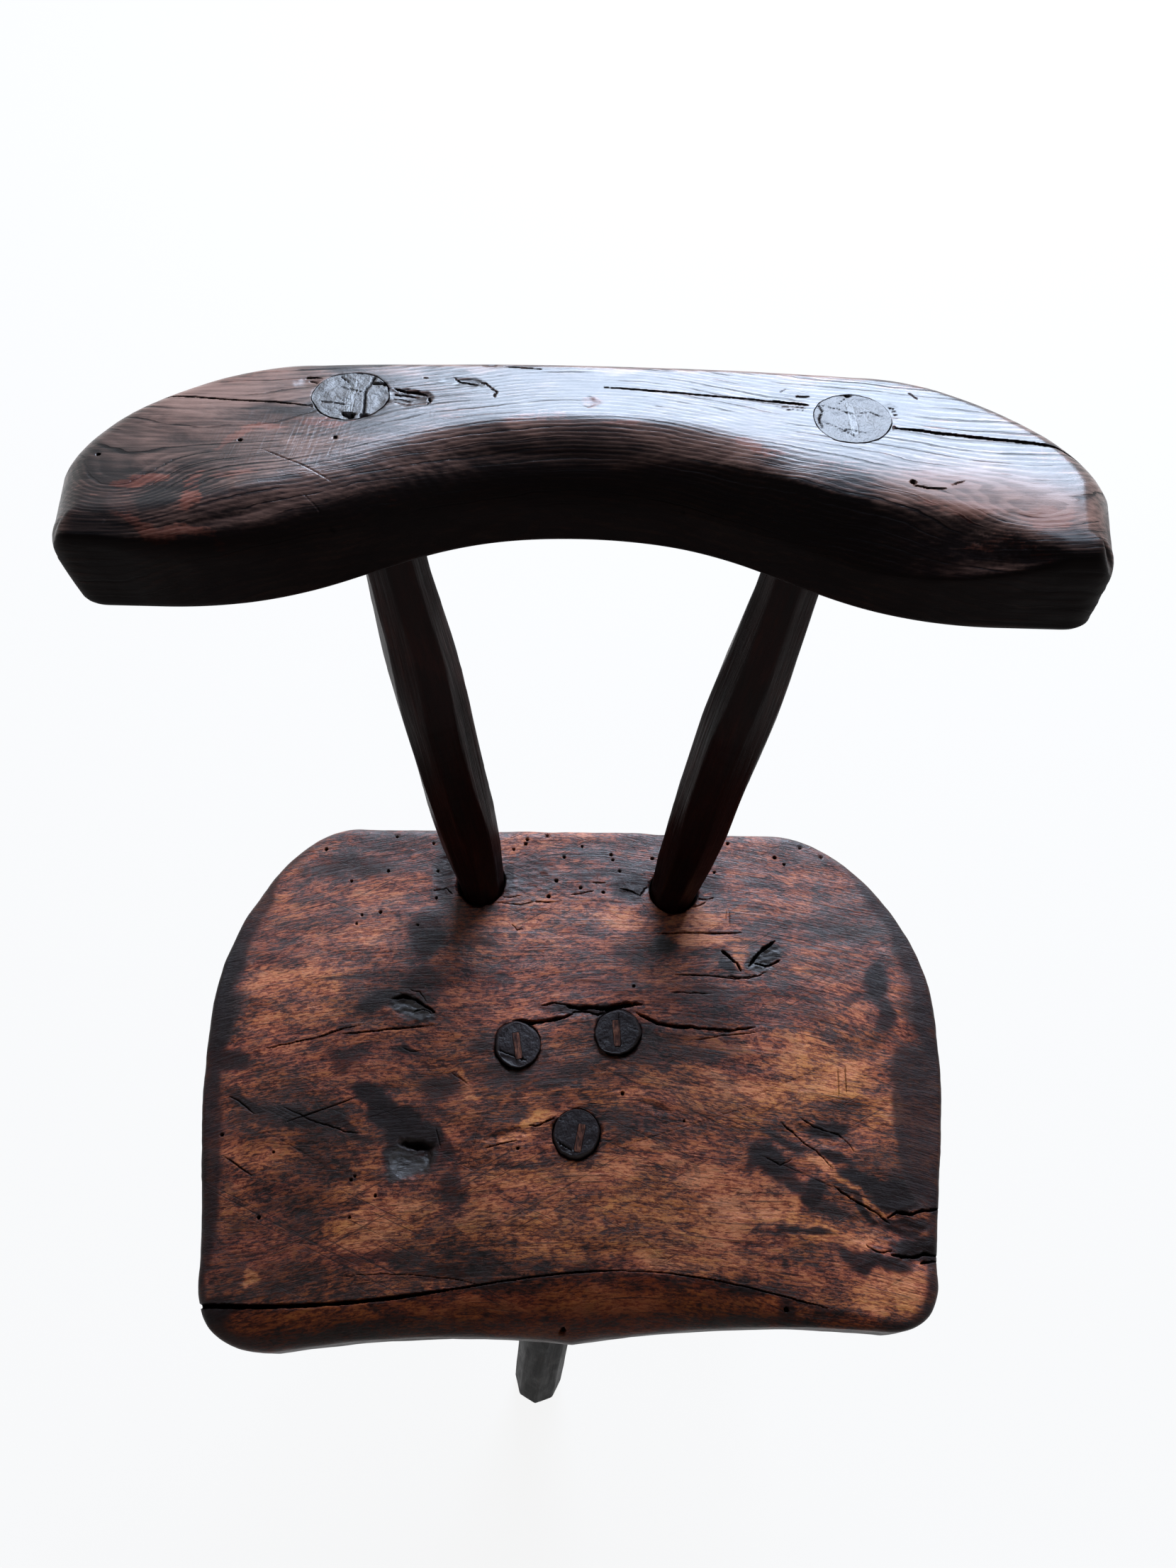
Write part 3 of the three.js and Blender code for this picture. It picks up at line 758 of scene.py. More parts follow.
def seat_wood():
    p = Paint("seat_wood")
    soot_and_shade, amber, pit, edge, back, lip = p.painted("soot_and_shade", "amber", "pit", "edge", "red", "lip")
    flow = p.bent(0.55, 0.03)
    cloud = p.noise((15, 26, 26), 5, 0.6, 0.4)
    blotch = p.noise((62, 125, 125), 9, 0.68, 0.8, (4, 2, 2), flow)
    flake = p.noise((250, 760, 760), 8, 0.72, 0.0, (7, 7, 2), flow).step(0.43, 0.56)
    grain = p.noise((15, 420, 420), 4, 0.6, 0.0, (3, 1, 2), flow)
    lines = p.noise((15, 860, 860), 3, 0.5, 0.0, (1, 3, 9), flow)
    pores = p.noise((150, 1300, 1300), 3, 0.5, 0.0, (5, 5, 5), flow)
    film = p.noise((34, 66, 66), 13, 0.72, 0.8, (9, 2, 4), flow)
    speck = p.noise((480, 900, 900), 5, 0.7, 0.0, (1, 8, 3), flow)

    tone = toned(((cloud, 1.25), (blotch, 1.25), (flake, 0.30), (grain, 0.45)), 0.500)
    color = p.ramp(
        tone - back * 0.03 + amber * 0.34 - soot_and_shade * 0.30 - lip * 0.07,
        (0.06, (0.0055, 0.0028, 0.0028)),
        (0.26, (0.0190, 0.0072, 0.0064)),
        (0.40, (0.0600, 0.0165, 0.0110)),
        (0.51, (0.1280, 0.0360, 0.0190)),
        (0.62, (0.2300, 0.0700, 0.0310)),
        (0.74, (0.3600, 0.1230, 0.0480)),
        (0.87, (0.4900, 0.1950, 0.0720)),
        (1.00, (0.5800, 0.2600, 0.1000)),
    )
    cuts = 0.0
    for angle, shift in ((0.42, 3), (-0.50, 6), (0.12, 9)):
        cut = p.noise((9, 560, 90), 3, 0.45, 0.0, (shift, 1, shift), p.mapped(turn=angle))
        cuts = p.math("MAXIMUM", cut.step(0.65, 0.68), cuts)
    cuts = cuts * p.noise((16, 20, 20), 3, 0.5, 0.0, (2, 9, 4)).step(0.46, 0.60)
    hue = (cloud + back * 0.2).step(0.42, 0.62)
    color = p.mix(hue, p.tinted(color, (1.08, 0.93, 0.70)), p.tinted(color, (1.10, 0.85, 0.94)))
    filmed = film.step(0.505, 0.550) * amber.step(0.9, 0.2, 0.25, 0.72) * flake.step(1.0, 0.0, 0.40, 1.0)
    color = p.mix(filmed, color, (0.0275, 0.0112, 0.0092))
    color = p.mix(lines.step(0.615, 0.665) * 0.70, color, (0.0085, 0.0040, 0.0040))
    color = p.mix(cuts * 0.6, color, (0.0060, 0.0030, 0.0032))
    worn = lip.step(0.9, 0.1)
    porous = pores.step(0.605, 0.665) * worn
    color = p.mix(porous * 0.65, color, (0.0065, 0.0032, 0.0032))
    # Pale specks, stronger towards the glossy back: partly painted glints of the sheen, partly light dust and
    # scratches.
    light = speck.step(0.585, 0.68) * back.step(0.0, 1.0, 0.16, 0.46)
    color = p.mix(light * worn, color, (0.40, 0.20, 0.145))
    # The lip is darker and redder: partly painted shade, for its forward tilt away from the light, and partly its own
    # darker wood.
    color = p.mix(lip * 0.9, color, p.tinted(color, (0.46, 0.31, 0.22)))
    # Darker over the worn side bands, the front rim, and every face more than 14 mm below the top.
    rim_and_side_darkening = toned(((blotch, 1.3), (flake, 0.25), (grain, 0.5)), edge).step(0.10, 0.9)
    color = p.mix(rim_and_side_darkening * 0.88, color, (0.0160, 0.0088, 0.0090))
    sooty = toned(((blotch, 1.9), (flake, 0.35), (film, 1.2), (grain, 0.6)), soot_and_shade).step(0.24, 1.10)
    color = p.mix(sooty * 0.90, color, (0.0086, 0.0045, 0.0044))
    color = p.mix(pit, color, PIT)

    gloss = blotch.step(0.3, 0.7, 0.46, 0.36) + porous * 0.18
    gloss = p.math("ADD", gloss, pit * 0.4, clamp=True)
    varnish = pit.step(0.0, 0.5, 1.0, 0.0) * film.step(0.45, 0.55, 0.72, 1.0)
    varnish = varnish * back.step(0.0, 1.0, 0.36, 1.0) * lip.step(0.0, 1.0, 1.0, 0.45)
    wet = back.step(1.05, 1.6)
    varnish = varnish * (p.math("MAXIMUM", sooty, rim_and_side_darkening) - wet).step(0.1, 0.9, 1.0, 0.55)
    normal = p.bump(film + blotch * 0.5, 0.00040)
    strands = (grain + lines * 0.6 - cuts * 0.8) * lip.step(0.0, 1.0, 1.0, 0.4)
    normal = p.bump(strands, 0.00034, normal)
    normal = p.bump(speck + flake * 0.35 - porous * 0.9, 0.00016, normal)
    return p.finish(color, gloss, normal, varnish, 0.40, 0.07)


def rest_wood():
    p = Paint("backrest_wood")
    soot_and_shade, ember, pit, face, hatched, tan, dull = p.painted("soot_and_shade", "amber", "pit", "edge", "red", "tan", "dull")
    rings = p.painted("ring")[0] + p.noise((26, 110, 110), 5, 0.55, 0.0, (6, 1, 3)) * 1.9
    saw = p.math("FRACT", rings)
    strength = p.noise((12, 24, 24), 4, 0.6, 0.0, (3, 9, 3)).step(0.38, 0.62, 0.25, 1.0)
    ridge = saw.step(0.25, 0.70) * saw.step(1.0, 0.82) * strength
    late = p.math("FRACT", rings * 0.43)
    late = late.step(0.80, 0.92) * late.step(1.0, 0.96)
    late = late * p.noise((16, 60, 60), 4, 0.6, 0.0, (5, 5, 7)).step(0.42, 0.58)
    fibre = p.noise((26, 620, 620), 5, 0.6)
    blotch = p.noise((34, 90, 90), 9, 0.64, 0.7, (4, 4, 1))
    cloud = p.noise((14, 26, 26), 5, 0.6, 0.4, (8, 3, 5))
    hatch = p.noise((700, 34, 34), 3, 0.5, 0.0, (0, 3, 0), p.mapped(turn=0.1))
    speck = p.noise((560, 900, 900), 4, 0.7)

    tone = toned(((cloud, 0.7), (blotch, 0.8), (fibre, 0.5)), 0.37) + ridge * 0.20 - late * 0.16 - soot_and_shade * 0.25
    color = p.ramp(
        tone,
        (0.05, (0.0045, 0.0028, 0.0030)),
        (0.30, (0.0120, 0.0062, 0.0062)),
        (0.45, (0.0270, 0.0120, 0.0105)),
        (0.60, (0.0520, 0.0210, 0.0165)),
        (0.78, (0.1000, 0.0400, 0.0270)),
        (1.00, (0.1700, 0.0700, 0.0420)),
    )
    bare = toned(((blotch, 1.5), (fibre, 1.9), (hatch, 0.5), (ridge, 0.3)), ember).step(0.26, 0.78)
    raw = p.ramp(tone + 0.1, (0.3, (0.060, 0.0130, 0.0090)), (0.7, (0.240, 0.062, 0.036)))
    color = p.mix(bare * 0.85, color, raw)
    # tan also holds a painted lighter tone on the rolled bevel, standing in for the light it catches.
    tanned = toned(((cloud, 0.8), (blotch, 1.3), (fibre, 1.1), (ridge, 0.4), (late, -0.5)), tan).step(0.05, 1.5)
    color = p.mix(tanned, color, (0.290, 0.160, 0.122))
    sooty = toned(((blotch, 1.0),), soot_and_shade).step(0.45, 0.9)
    color = p.mix(sooty * 0.8, color, (0.0080, 0.0068, 0.0074))
    # face is painted shade: the front face and the lower half go near-black over the wood's own dark colour.
    color = p.mix(face * 0.93, color, (0.0030, 0.0014, 0.0014))
    color = p.mix(pit, color, PIT)

    gloss = blotch.step(0.3, 0.7, 0.40, 0.32) + face * 0.25
    gloss = p.math("ADD", gloss, pit * 0.4, clamp=True)
    varnish = pit.step(0.0, 0.5, 0.78, 0.0) * face.step(0.1, 0.8, 1.0, 0.0)
    varnish = varnish * (ridge * 0.5 + fibre * 0.7).step(0.2, 0.85, 0.66, 1.0)
    varnish = varnish * dull.step(0.0, 1.0, 1.0, 0.0) * late.step(0.0, 1.0, 1.0, 0.50)
    normal = p.bump(ridge - late * 2.0, 0.00005)
    normal = p.bump(blotch * 0.5 + fibre * 0.4, 0.00026, normal)
    normal = p.bump(hatch * hatched * 1.3 + speck * 0.6, 0.00010, normal)
    return p.finish(color, gloss, normal, varnish, 0.27, 0.05)


def stick_wood(name, dark, middle, light, worn, gloss_low, gloss_high, varnish, end_varnish):
    """Wood whose fibres run along the piece's own Z."""
    p = Paint(name)
    soot_and_shade, bare, pit, cap = p.painted("soot_and_shade", "amber", "pit", "edge")
    blotch = p.noise((110, 110, 26), 8, 0.64, 0.6)
    fibre = p.noise((640, 640, 15), 5, 0.62)
    streak = p.noise((190, 190, 7), 5, 0.6, 0.0, (2, 3, 1))
    drift = p.noise((60, 60, 34), 6, 0.65, 0.0, (2, 6, 1))
    chatter = p.noise((40, 40, 260), 3, 0.5, 0.0, (7, 1, 1))
    tone = toned(((drift, 0.8), (blotch, 0.9), (streak, 0.7), (fibre, 0.5)), 0.45) + bare * 0.3 - soot_and_shade * 0.3
    color = p.ramp(tone, (0.12, dark), (0.45, middle), (0.70, light), (0.95, worn))

    x, y, _ = p.axes()
    rings = p.math("FRACT", p.math("SQRT", x * x + y * y) * 560 + drift * 3.0)
    cells = p.noise((1400, 1400, 1400), 4, 0.65)
    end_color = p.mix(rings.step(0.4, 0.9) * 0.5, (0.0165, 0.0115, 0.0125), (0.0060, 0.0045, 0.0050))
    end_color = p.mix(cells.step(0.45, 0.65) * 0.5, end_color, (0.0330, 0.0245, 0.0245))
    color = p.mix(pit, p.mix(cap, color, end_color), PIT)

    gloss = blotch.step(0.3, 0.7, gloss_high, gloss_low) + cap * 0.06
    gloss = p.math("ADD", gloss, pit * 0.4, clamp=True)
    normal = p.bump(streak + fibre * 0.6, 0.00055)
    normal = p.bump(chatter * 0.5 + cells * cap * 0.9, 0.00016, normal)
    coat = cap.step(0.0, 1.0, varnish, end_varnish) * pit.step(0.0, 0.5, 1.0, 0.0)
    return p.finish(color, gloss, normal, coat, 0.30, 0.03)


def wedge_wood():
    p = Paint("wedge_wood")
    aged, pit = p.painted("soot_and_shade", "pit")
    fibre = p.noise((1100, 160, 1100), 4, 0.6)
    blotch = p.noise((260, 150, 260), 5, 0.65, 0.6)
    tone = toned(((blotch, 1.4), (fibre, 1.2)), 0.45)
    color = p.ramp(
        tone,
        (0.15, (0.010, 0.005, 0.005)),
        (0.40, (0.045, 0.016, 0.011)),
        (0.60, (0.120, 0.044, 0.027)),
        (0.95, (0.260, 0.110, 0.062)),
    )
    dark = p.ramp(tone, (0.3, (0.0050, 0.0038, 0.0042)), (0.8, (0.0210, 0.0150, 0.0160)))
    color = p.mix(pit, p.mix(aged, color, dark), PIT)
    varnish = aged.step(0.0, 1.0, 0.1, 0.85)
    return p.finish(color, blotch.step(0.3, 0.7, 0.42, 0.6), p.bump(fibre + blotch, 0.0004), varnish, 0.30, 0.12)


SEAT_WOOD, REST_WOOD, WEDGE_WOOD = seat_wood(), rest_wood(), wedge_wood()
POST_WOOD = stick_wood(
    "post_wood", (0.0032, 0.0006, 0.0006), (0.0120, 0.0017, 0.0013), (0.0310, 0.0054, 0.0034),
    (0.0850, 0.0210, 0.0115), 0.32, 0.46, 0.06, 0.90,
)
LEG_WOOD = stick_wood(
    "leg_wood", (0.0024, 0.0020, 0.0022), (0.0056, 0.0046, 0.0047), (0.0140, 0.0100, 0.0090),
    (0.0600, 0.0370, 0.0260), 0.40, 0.55, 0.01, 0.35,
)


# The seat

def shake(start, stop):
    """The shake as x, y, x, y from one x to another."""
    return [value for x in np.arange(start, stop, 6) for value in (x, shake_line(x))]


SEAT_MARKS = Marks(
    splits=[
        # the shake behind the worn lip
        (2.5, SHAKE_DEPTH, -0.5, *shake(-226, -55)), (1.1, 8.0, 0.25, *shake(-70, 30)),
        (0.8, 3.0, 0.3, *shake(20, 150)), (0.6, 1.2, 0.5, -137, -149, -112, -147.5, -95, -148, -70, -150, -52, -154),
        # behind the leg tenons
        (2.6, 7, 0.5, -40, -0.6, -30, -1.4, -20, -0.6, -10, 1.6, -3, 4.4),
        (1, 3, 0.6, -24, 9.5, -15, 11, -8, 10.2, -2, 9),
        (3.2, 6, 0.9, -8, 9.2, 0, 7.6, 8, 8.8, 18, 8, 28, 9.6, 36, 10.6, 41, 9.2),
        (1.6, 2.2, 0.9, -4, 5, 4, 5.6, 12, 4, 18, 6), (2.6, 4.5, 0.5, 36, 5, 42, 1.6, 50, -2.2, 60, -4.2, 75, -4.6),
        (1.5, 2.2, 0.6, 68, -4.8, 86, -6, 97, -6.4, 112, -4),
        (0.9, 1.4, 0.6, -196, -18, -176, -14, -160, -10, -146, -5, -134, -3),
        (1.2, 1.8, 0.5, -150, -9, -136, -8, -120, -6, -106, -5, -90, -3),
        (0.9, 1.2, 0.4, -178, -63, -160, -57, -146, -52, -134, -47), (1, 1.2, 0.6, -214, -47, -206, -50, -196, -58),
        (0.9, 1.1, 0.6, -180, -53, -162, -61, -140, -68, -128, -70), (0.9, 1, 0.6, -212, -82, -202, -88, -192, -94),
        (0.8, 1, 0.5, -86, -66, -84, -72, -82, -78), (1, 1.2, 0.7, 60, 30, 80, 29, 102, 27, 118, 30),
        (0.9, 1.2, 0.6, 58, 18, 72, 17.4, 84, 17), (0.9, 1.2, 0.6, 70, -13, 84, -11, 97, -9, 112, -8),
        (1, 1.4, 0.6, 80, -6.8, 90, -7.6, 97, -7),
        # short cracks
        (1.3, 4, 0.3, 50, 57.4, 66, 57.8, 84, 57.4, 106, 57.6), (0.7, 1.2, 0.6, -110, -17, -104, -19.4, -98, -19),
        (1.2, 2, 0.8, -30, -65, -22, -64, -15, -60, -12, -58), (0.9, 1.4, 0.8, -56, -78, -44, -75, -36, -73),
        (0.8, 1.6, 0.6, -52, 83, -46, 82, -38, 83.4), (0.8, 1.4, 0.6, -56, 79, -48, 78, -38, 77, -30, 79, -14, 79),
        (0.9, 2, 0.6, -6, 84, 2, 85, 10, 87), (0.9, 1.6, 0.6, 8, 92.6, 18, 92.8),
        (0.8, 1.2, 0.8, -96, 87, -88, 89, -83, 84), (0.9, 1.6, 0.8, 26, 89, 34, 87, 40, 84, 45, 90),
        (0.8, 1.4, 0.8, 76, 82, 84, 81, 90, 82), (0.8, 1.4, 0.7, 74, 75, 80, 77, 84, 80),
        (0.7, 1, 0.7, -44, 64, -40, 60, -36, 61),
        # torn places
        (2.4, 3, 1, 92, 46, 96, 42, 101, 37, 104, 32), (2.6, 2.6, 1, 108, 34, 111, 38, 116, 44, 127, 52),
        (1.6, 2, 1, 112, 37, 120, 35, 130, 39), (1.2, 1.6, 1, 95, 29, 108, 27, 120, 31),
        (2.8, 3, 1, -118, 14, -111, 16, -104, 14, -97, 9, -90, 5), (1, 1.2, 1, -104, 6, -98, 7, -92, 4),
        (1, 1.2, 1, -108, 20, -101, 18, -96, 12),
        # broken right edge
        (1.9, 4, 0.9, 180, -117, 186, -113.6, 194, -115, 203, -113, 213, -112),
        (1.2, 2.6, 0.9, 150, -99, 160, -106, 170, -112, 182, -120),
        (1.8, 4, 0.9, 180, -137, 190, -138.5, 200, -137, 211, -138.5), (1.3, 3, 0.9, 196, -142, 204, -141, 211, -142),
        (1, 2, 0.9, 166, -132, 174, -136, 182, -135), (0.9, 1.4, 0.9, 122, -62, 132, -72, 142, -80, 152, -90),
        (0.9, 1.2, 0.9, 132, -58, 142, -66, 156, -70, 166, -80), (0.9, 1.2, 0.9, 112, -84, 120, -88, 128, -84),
        # knife strokes
        (0.55, 0.35, 0.1, -147, -67, -103, -52), (0.5, 0.3, 0.1, -191, -66, -150, -88),
        (0.5, 0.3, 0.1, -160, -50, -128, -64), (0.55, 0.35, 0.1, 16, -80, 122, -48),
        (0.5, 0.3, 0.1, 84, -70, 140, -44), (0.5, 0.3, 0.1, 150, -60, 196, -66), (0.55, 0.3, 0.1, 100, -50, 150, -30),
        (0.5, 0.3, 0.1, -60, -64, -66, -92), (0.5, 0.3, 0.1, 36, -128, 64, -148), (0.5, 0.3, 0.1, 28, -120, 52, -142),
        (0.6, 0.4, 0.1, 104, -80, 150, -100, 176, -108), (0.9, 0.6, 0.3, 160, -30, 158.6, -48),
        (0.9, 0.6, 0.3, 164.4, -29, 163.4, -46), (0.7, 0.4, 0.3, 156.5, -48.6, 165, -50),
        (0.8, 0.5, 0.3, -78, -33, -69, -38.6), (0.8, 0.5, 0.3, -75, -33.6, -67, -40.4),
        (0.6, 0.4, 0.3, 97, 74, 96, 66), (0.6, 0.4, 0.3, 99, 73, 98.4, 62),
    ],
    bowls=[
        (-99, -85, 13, 11, 4, 2.9), (-97, -75.5, 11, 3, -10, 5), (-89, -81, 2.4, 6, 0, 2), (-90, -80, 4, 6, 0, 0.8),
        (-107, 8, 12, 7, -18, 2.2), (103, 40, 9, 7, 0, -0.6), (118, 38, 12, 6, 25, 1.2), (8, 6, 22, 4.5, 0, 1.4),
        (-42, -70, 16, 3.6, 12, 1), (46, -54, 12, 3, -20, 0.8), (140, -70, 16, 5, -25, 0.6),
        (182, -126, 26, 12, -10, 1.3), (200, -139, 14, 7, 0, 1.4), (-36, 96, 14, 14, 0, 0.6),
        (-91, 96, 6, 18, 0, 0.7), (-186, -151, 7, 1.8, 0, 0.6), (-56, -167, 14, 3, 5, 0.5),
    ],
    holes=[
        (-170, 117, 1.2), (-123, 126, 0.9), (-98, 121, 0.9), (-127, 101, 1), (-151, 94, 0.8), (-94, 101, 1),
        (-94, 82, 0.9), (-142, 70, 0.9), (-130, 72, 1.2), (-145, 64, 0.8), (-35, 124, 1), (-36, 121, 1.1),
        (-44, 117, 0.9), (-22, 128, 1.1), (-10, 111, 1.1), (21.5, 113, 1.1), (22.6, 109, 0.9), (27, 101, 1),
        (49, 110, 1), (1, 89, 1.1), (16, 86, 1), (-20, 83, 1.3), (-15, 94, 1.2), (2, 119, 0.8), (100, 121, 1),
        (131, 111, 1.1), (137, 106, 0.8), (149, 118, 1), (152, 117, 0.8), (162, 111, 1), (90, 100, 0.9),
        (35, 22, 0.8), (27, -45.6, 1.2), (-36, -78, 1), (-133, -117, 0.8), (-186, -117, 1.1), (-134, -96, 0.9),
        (-132, -94, 0.8), (-119, -105, 0.9), (-214, -70, 1), (-182, -80, 0.7), (-105, 63, 0.7), (64, -62, 0.7),
        (-8, -176, 1.4), (118, -166, 1.3),
    ],
)

SEAT_SOOT = [
    (-90, 98, 11, 20, 0.75), (-34, 100, 18, 14, 0.45), (-46, 96, 6, 12, 0.8), (34, 90, 14, 9, 0.75),
    (84, 90, 14, 8, 0.6), (72, 80, 8, 6, 0.6), (-100, 56, 12, 15, 0.8), (-98, 24, 18, 12, 0.6, -20),
    (-128, 12, 16, 6, 0.7, 25), (-76, 32, 22, 8, 0.45), (-62, 22, 16, 6, 0.4), (54, 49, 9, 5, 0.95),
    (40, 44, 40, 5, 0.35), (95, 17, 60, 6, 0.55, 2), (20, 22, 70, 5, 0.35), (118, 41, 10, 7, 1.4, 30),
    (97, 37, 6, 3.5, 1.2, -40), (190, 22, 7, 14, 0.95, -8), (192, 4, 8, 10, 0.85), (176, 12, 12, 3, 0.6, 10),
    (160, 60, 14, 3, 0.4), (212, 20, 8, 40, 0.4), (-224, 14, 9, 52, 0.85), (-214, -26, 12, 7, 0.85),
    (-227, -90, 6, 50, 0.6), (-145, -22, 13, 9, 0.6), (-166, -60, 26, 4, 0.75, -20), (-200, -50, 16, 4, 0.7, -25),
    (-140, -66, 20, 3, 0.7, -22), (-150, -86, 22, 3, 0.45, -30), (-84, -44, 16, 9, 0.5), (-131, -46, 10, 6, 1.1, -10),
    (-118, -54, 13, 8, 1.5, -35), (-106, -64, 12, 10, 1.6, -35), (-92, -72, 9, 9, 1.4, -30), (-99, -84, 14, 12, 1.5),
    (-82, -80, 7, 10, 0.7), (-74, -100, 8, 12, 0.6), (-105, 9, 15, 7, 1.3, -20), (-185, -105, 46, 60, 0.3),
    (150, -68, 11, 5, 1.1), (124, -76, 18, 3, 0.8, -14), (112, -87, 13, 8, 1.2, -20), (104, -84, 7, 8, 0.8),
    (128, -93, 11, 5, 0.9, -40), (138, -104, 7, 7, 1, -30), (156, -84, 14, 3, 0.9, -20), (172, -98, 20, 5, 1.1, -12),
    (186, -104, 14, 7, 1.1, -20), (192, -122, 13, 7, 1.1, -10), (196, -135, 16, 7, 1.15),
    (168, -112, 14, 3, 0.9, -40), (134, -124, 16, 2.6, 1.1, -6), (174, -142, 20, 5, 1, -6),
    (158, -136, 12, 4, 0.8, -10), (148, -112, 12, 3, 0.7, -20), (76, -58, 22, 3, 0.35), (40, -62, 20, 3, 0.35),
    (22, -36, 16, 3, 0.35), (6, 8, 36, 4, 0.8), (-120, -140, 26, 5, 0.55, 4), (-66, -146, 26, 4, 0.6, 4),
    (-180, -136, 20, 4, 0.35), (0, -142, 40, 3, 0.35), (110, -158, 26, 4, 0.45, -8), (60, -18, 40, 3, 0.35),
    (-64, 50, 12, 3, 0.4), (10, 98, 30, 3, 0.45), (-60, -18, 9, 6, 0.5), (-8, -58, 9, 4, 0.4), (42, -4, 8, 5, 0.6),
    (-206, -168, 10, 8, 0.8), (120, -168, 5, 8, 0.6), (-20, 110, 60, 3, 0.35), (120, 90, 24, 3, 0.3),
    (-170, 80, 20, 3, 0.3), (-150, 104, 34, 10, 0.6), (-216, -120, 8, 22, 0.6), (-106, -18, 10, 3.4, 0.9),
    (136, 17, 24, 4, 0.45, -8), (62, -16, 46, 12, 0.4), (112, 4, 52, 10, 0.35), (-34, -34, 36, 9, 0.4, 4),
    (30, -60, 40, 8, 0.3),
]
SEAT_AMBER = [
    (-164, 28, 20, 15, 0.95, 10), (-196, 24, 18, 14, 0.65), (-146, 56, 30, 9, 0.55, 8), (-176, 4, 34, 8, 0.6, 10),
    (-120, -8, 30, 4, 0.45, 12), (-90, 64, 20, 4, 0.4), (26, 68, 22, 6, 0.75), (78, 66, 26, 5, 0.85),
    (84, 54, 30, 5, 1.05, -4), (70, 76, 16, 4, 0.6), (105, 42, 5, 8, 0.9), (152, -32, 30, 16, 1, -8),
    (140, -12, 22, 5, 0.7, -6), (158, -42, 22, 8, 1.05), (184, -56, 12, 12, 0.5), (84, -16, 30, 5, 0.6),
    (60, -34, 34, 6, 0.5), (100, -46, 26, 5, 0.5), (20, -46, 20, 8, 0.55), (-70, -36, 8, 4, 0.9, -40),
    (-66, -44, 8, 3, 0.8, -40), (-24, -62, 12, 3, 1.05, 12), (-38, -72, 12, 3, 0.6), (112, -112, 9, 8, 1.05),
    (124, -116, 6, 8, 0.85), (78, -118, 26, 12, 0.72, 5), (36, -112, 30, 12, 0.62), (60, -138, 40, 8, 0.6, -6),
    (0, -128, 40, 13, 0.52), (20, -92, 30, 6, 0.5), (70, -94, 26, 5, 0.5), (150, -92, 16, 3, 0.95, -28),
    (172, -111, 19, 3, 1.05, -24), (193, -124, 10, 2.5, 0.9, -20), (160, -130, 14, 5, 0.7, -10),
    (140, -124, 14, 6, 0.7, -5), (184, -156, 14, 9, 0.85), (166, -158, 12, 8, 0.7), (-188, -84, 24, 12, 0.62, -15),
    (-180, -66, 18, 4, 0.5, -20), (-204, -112, 14, 18, 0.5), (-124, -124, 26, 10, 0.72), (-96, -112, 18, 7, 0.55),
    (-58, -116, 14, 12, 0.55), (-36, -98, 26, 6, 0.62), (-130, -104, 16, 5, 0.5), (-186, -151, 7, 2, 1.3),
    (-130, 80, 20, 12, 0.45), (130, 74, 30, 7, 0.5), (150, 98, 40, 8, 0.35), (-62, 44, 26, 7, 0.35),
    (-30, 66, 26, 4, 0.35), (126, -46, 26, 8, 0.7), (104, -50, 44, 14, 0.45, -4), (-28, -126, 30, 14, 0.5),
    (50, -104, 70, 26, 0.25), (150, 10, 50, 40, 0.2), (-150, -170, 56, 6, 0.85, 2), (-60, -166, 50, 6, 0.75, 4),
    (10, -160, 30, 9, 0.85), (60, -162, 40, 7, 0.85, -2), (105, -164, 30, 6, 0.7, -4), (-190, -176, 20, 6, 0.7),
    (150, -172, 20, 4, 0.6), (-40, -176, 40, 5, 0.5),
]

SEAT_WET = [(-99, -86, 12, 10, 2.2), (-104, 8, 13, 5, 2, -18), (118, 40, 11, 6, 1.7, 25)]
SEAT_ROUGH = [
    (-36, 98, 22, 18, 1), (-90, 98, 9, 20, 1), (38, 88, 14, 14, 0.9), (6, 7, 40, 6, 1), (188, -128, 28, 20, 1),
    (140, -76, 26, 16, 0.6), (-105, 8, 16, 8, 2.4, -18), (-99, -83, 11, 8, 1.8), (118, 41, 11, 8, 2.2, 30),
]
# How much larger a mortise's radius is than its tenon's at the seat's underside
MORTISE_ROOM = 0.9
# A post's mortise on top, as its radius
POST_MORTISE = 15.9


def seat_holes():
    """Each mortise: its middle and radii at the seat's top, then at the underside, and its seed."""
    holes = []
    for name, (head, foot, _, _) in LEGS.items():
        slant = (np.array(head) - foot) / SEAT_HEIGHT
        under = head - slant * SEAT_THICKNESS
        wide = LEG_TENON_FOOT + MORTISE_ROOM
        holes.append((*head, LEG_TENON_TOP + 0.8, LEG_TENON_TOP + 1.0, *under, wide, wide + 0.1, SEEDS[name]))
    for base, rest in POSTS.values():
        slant = post_slant(base, rest)
        under = base - slant * SEAT_THICKNESS
        stretch = math.hypot(1, slant[1])
        wide = POST_TENON_FOOT + MORTISE_ROOM
        holes.append((*base, POST_MORTISE, POST_MORTISE * stretch, *under, wide, wide * stretch, 0))
    return holes


REST_PLACE = (
    Matrix.Translation((REST_FRONT[0] * MM, REST_FRONT[1] * MM, (SEAT_HEIGHT + REST_RISE) * MM))
    @ Matrix.Rotation(REST_YAW, 4, "Z")
    @ Matrix.Rotation(-REST_TILT, 4, "X")
)


def rest_to_world(points):
    """Places of points of the backrest's own frame, in millimetres."""
    turn = np.array(REST_PLACE.to_3x3())
    return points @ turn.T + np.array(REST_PLACE.translation) / MM


def world_to_rest(points):
    """Places on the backrest's own X and Y."""
    turn = np.array(REST_PLACE.to_3x3())
    return ((points - np.array(REST_PLACE.translation) / MM) @ turn)[:, :2]


def post_slant(base, rest):
    top = rest_to_world(np.array([[*rest, REST_THICKNESS / 2]]))[0]
    return (top[:2] - base) / (top[2] - SEAT_HEIGHT)


